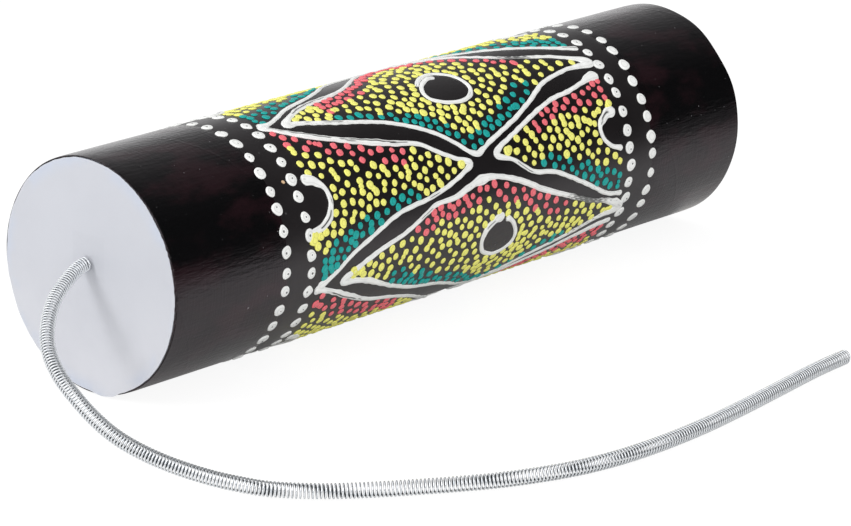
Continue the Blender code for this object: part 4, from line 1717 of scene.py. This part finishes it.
    def white_lines(self, white: bpy.types.Material) -> None:
        """Draw the lozenges, chevrons, crescents and eyes."""
        lozenges, chevrons, crescents, eyes = [], [], [], []
        for quarter in range(4):
            half, turn, odd = 180 * (quarter // 2), 90 * quarter, quarter % 2 == 1
            lozenges.append(self.stroke((LOZENGE_B if odd else LOZENGE_A).turned(half), 100 + 10 * quarter))
            left, right = (LEFT_CHEVRON_B, RIGHT_CHEVRON_B) if odd else (LEFT_CHEVRON_A, RIGHT_CHEVRON_A)
            chevrons.append(self.stroke(left.turned(turn), 200 + 10 * quarter))
            chevrons.append(self.stroke(right.turned(turn), 300 + 10 * quarter))
            crescents.append(self.stroke(LEFT_CRESCENT.turned(turn), 400 + 10 * quarter))
            crescents.append(self.stroke(RIGHT_CRESCENT.turned(turn), 500 + 10 * quarter))
            eyes.append(self.stroke((EYE_B if odd else EYE_A).turned(half), 600 + 10 * quarter))
        groups = {
            "lozenge_lines": lozenges, "chevron_lines": chevrons, "crescents": crescents, "eye_rings": eyes,
        }
        for name, shells in groups.items():
            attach(Shell.joined(shells).piece(name, white), "drum")

    def chip(self) -> None:
        """A flake of bare card stuck on the ground beside the inner row."""
        spot, radius, height = self.places.flat([self.CHIP]), np.array([0.55]), np.array([0.15])
        flake = self.blobs(spot, radius, height, 91, 9, self.FLAKE)
        tan = Adhesive("tan_flake", linear(206, 168, 128), linear(226, 196, 160), 0.6)
        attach(flake.piece("card_flake", tan.material(self.effects)), "drum")

    def build(self) -> None:
        """Paint the whole middle."""
        white = ThickPaint(Paint.WHITE, pit=0.15).material(self.effects)
        self.white_lines(white)
        self.white_rows(white)
        self.small_dots()
        self.chip()


@dataclass(frozen=True)
class Creases:
    """Fine raised creases in the gloss wraps, where the paper under them is wound."""

    places: DrumPlaces
    effects: Effects

    LINES = (
        ((3.0, -30.0), (6.0, -1.1), (9.0, 24.0), (12.0, 45.5)),
        ((2.0, -2.0), (6.3, 10.3), (13.0, 26.0), (20.8, 43.4)),
        ((221.7, 34.7), (226.0, 51.0), (231.6, 68.7)),
    )

    def build(self, lacquer: bpy.types.Material) -> None:
        """Lay the creases over the wraps."""
        painting = Painting(self.places, self.effects, line_height=0.05, sink=0.03)
        strokes = [Stroke(points, width=0.34) for points in self.LINES]
        shells = [painting.stroke(stroke, 700 + 10 * number) for number, stroke in enumerate(strokes)]
        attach(Shell.joined(shells).piece("wrap_creases", lacquer), "drum")


@dataclass(frozen=True)
class Studio:
    """Camera, lamps, backdrop and floor. Sizes in metres, angles in radians.

    The camera's `stand` is measured along the drum from the rim plane.
    """

    places: DrumPlaces
    azimuth: float = 0.73245
    elevation: float = 0.29215
    stand: tuple[float, float, float] = (0.791982, -0.738470, 0.363140)
    focal_pixels: float = 3989.17
    image_width: float = 851.0
    sensor: float = 36.0
    soft_light: float = 0.82
    floor_half: float = 4.0
    floor_below: float = 0.0004
    floor_lit: float = 0.75
    floor_dim: float = 0.16
    floor_seen: float = 0.17
    glow_seen: float = 0.91
    glow_near: float = 0.13
    glow_dim: float = 0.02

    # Degrees about the drum's axis from straight up, with the wall's brightness there.
    AROUND = (
        (-180, 0.9), (-99, 1.0), (-79, 0.88), (-62, 0.50), (-39, 0.32), (-19, 0.21), (0, 0.12),
        (20, 0.05), (42, 0.008), (86, 0.012), (100, 0.5), (180, 0.9),
    )
    # Height of the direction, 0 level and 1 straight up, with the brightness there.
    UPWARD = ((0.0, 0.05), (0.10, 0.05), (0.18, 0.9), (0.45, 1.7), (0.82, 1.7), (0.92, 0.15), (1.0, 0.05))
    # Name, direction from the drum, distance, side and watts.
    LAMPS = (
        ("key", (-0.30, -1.0, 0.70), 1.2, 0.42, 5.4),
        ("fill", (0.85, -0.45, 0.15), 1.6, 1.2, 6.6),
    )
    DIMS_TOWARDS = (1.0, 0.7, 0.0)

    def camera(self) -> None:
        """Stand the camera where the photograph was taken from."""
        data = bpy.data.cameras.new("camera")
        data.sensor_width = self.sensor
        data.lens = self.focal_pixels / self.image_width * self.sensor
        made = bpy.data.objects.new("camera", data)
        bpy.context.scene.collection.objects.link(made)
        flat = math.cos(self.elevation)
        aside, ahead = math.sin(self.azimuth) * flat, -math.cos(self.azimuth) * flat
        back = Vector((aside, ahead, math.sin(self.elevation)))
        made.location = Vector(self.stand) + Vector((0, self.places.rim_y, 0))
        made.rotation_euler = (-back).to_track_quat("-Z", "Y").to_euler()
        bpy.context.scene.camera = made

    def lamp(self, name: str, towards: Vector, distance: float, size: float, power: float) -> None:
        """Hang a square soft lamp.

        Args:
            name: Its name.
            towards: Direction from the drum to the lamp.
            distance: How far off it hangs.
            size: Its side.
            power: Its power in watts.
        """
        data = bpy.data.lights.new(name, "AREA")
        data.shape, data.size, data.energy = "SQUARE", size, power
        made = bpy.data.objects.new(name, data)
        bpy.context.scene.collection.objects.link(made)
        middle = Vector((0.02, -0.05, self.places.axis_z))
        made.location = middle + towards.normalized() * distance
        made.rotation_euler = (-towards).to_track_quat("-Z", "Y").to_euler()
        made.visible_glossy = False
        made.visible_camera = False

    def backdrop(self) -> None:
        """White to the camera, and a studio for mirror rays.

        Behind the drum the studio is a white wall on the left that darkens over the top to the
        right, by the angle about the drum's axis. In front of it there are dark and bright bands
        from the horizon up, which give the wire its ticks.
        """
        world = bpy.data.worlds.new("studio")
        world.use_nodes = True
        bpy.context.scene.world = world
        w = Wiring(world.node_tree)
        background = world.node_tree.nodes["Background"]
        split = w.node("SeparateXYZ", {"Vector": w.node("TexCoord").outputs["Generated"]})
        angle = w.math("ARCTAN2", split.outputs["X"], split.outputs["Z"])
        around = w.ramp(w.math("MULTIPLY_ADD", angle, 0.5 / math.pi, 0.5), self.AROUND, 360.0, 0.5)
        upward = w.ramp(split.outputs["Z"], self.UPWARD, 1.0, 0.0)
        front = w.remap(split.outputs["Y"], -0.15, 0.3, 1.0, 0.0)
        mirrored = w.mix(front, around, upward)
        rays = w.node("LightPath")
        soft = w.mix(rays.outputs["Is Glossy Ray"], grey(self.soft_light), mirrored)
        seen = w.math("MAXIMUM", rays.outputs["Is Camera Ray"], rays.outputs["Is Transmission Ray"])
        w.feed(background.inputs["Color"], w.mix(seen, soft, grey(1.0)))

    def floor(self) -> None:
        """Pale floor that keeps a faint shadow; to the camera it adds up to white where it is fully lit.

        In mirrors it dims to the right and the back, so that the gloss fades into its dark upper part.
        """
        half, z = self.floor_half, -self.floor_below
        corners = np.array([(-half, -half, z), (half, -half, z), (half, half, z), (-half, half, z)])
        finish, w = blank_material("floor_white", Roughness=0.9, Specular_IOR_Level=0.0)
        rays = w.node("LightPath")
        camera, glossy = rays.outputs["Is Camera Ray"], rays.outputs["Is Glossy Ray"]
        off = w.node("VectorMath", {0: w.place(), 1: self.DIMS_TOWARDS}, operation="DOT_PRODUCT")
        away = w.remap(off.outputs["Value"], 0.08, 0.50)
        mirrored = w.mix(away, grey(self.floor_lit), grey(self.floor_dim))
        lit = w.mix(glossy, grey(self.floor_lit), mirrored)
        w.feed(w.shader.inputs["Base Color"], w.mix(camera, lit, grey(self.floor_seen)))
        glow = w.mix(glossy, grey(0.0), w.mix(away, grey(self.glow_near), grey(self.glow_dim)))
        w.feed(w.shader.inputs["Emission Color"], w.mix(camera, glow, grey(self.glow_seen)))
        w.feed(w.shader.inputs["Emission Strength"], 1.0)
        made = Shell(corners, [np.array([[0, 1, 2, 3]])]).piece("floor", finish)

    def build(self) -> None:
        """Set up everything but the drum and the camera."""
        for name, towards, distance, size, power in self.LAMPS:
            self.lamp(name, Vector(towards), distance, size, power)
        self.backdrop()
        self.floor()
        bpy.context.scene.view_settings.view_transform = "Standard"


def main() -> None:
    """Build the drum's looks and the studio, and write down how large they are."""
    logging.basicConfig(level=logging.INFO, format="%(message)s")
    places = DrumPlaces.read()
    root = Vector(next(joint for joint in frame["joints"] if joint["name"] == "spring_swing")["pos_m"])
    effects = Effects(places)
    studio = Studio(places)
    studio.camera()
    LongSpring(places, effects, root).build()
    CardTube(places, effects).build()
    Creases(places, effects).build(bpy.data.materials["gloss_lacquer"])
    Head(places, effects, root).build()
    Painting(places, effects).build()
    studio.build()


if __name__ == "__main__":
    main()
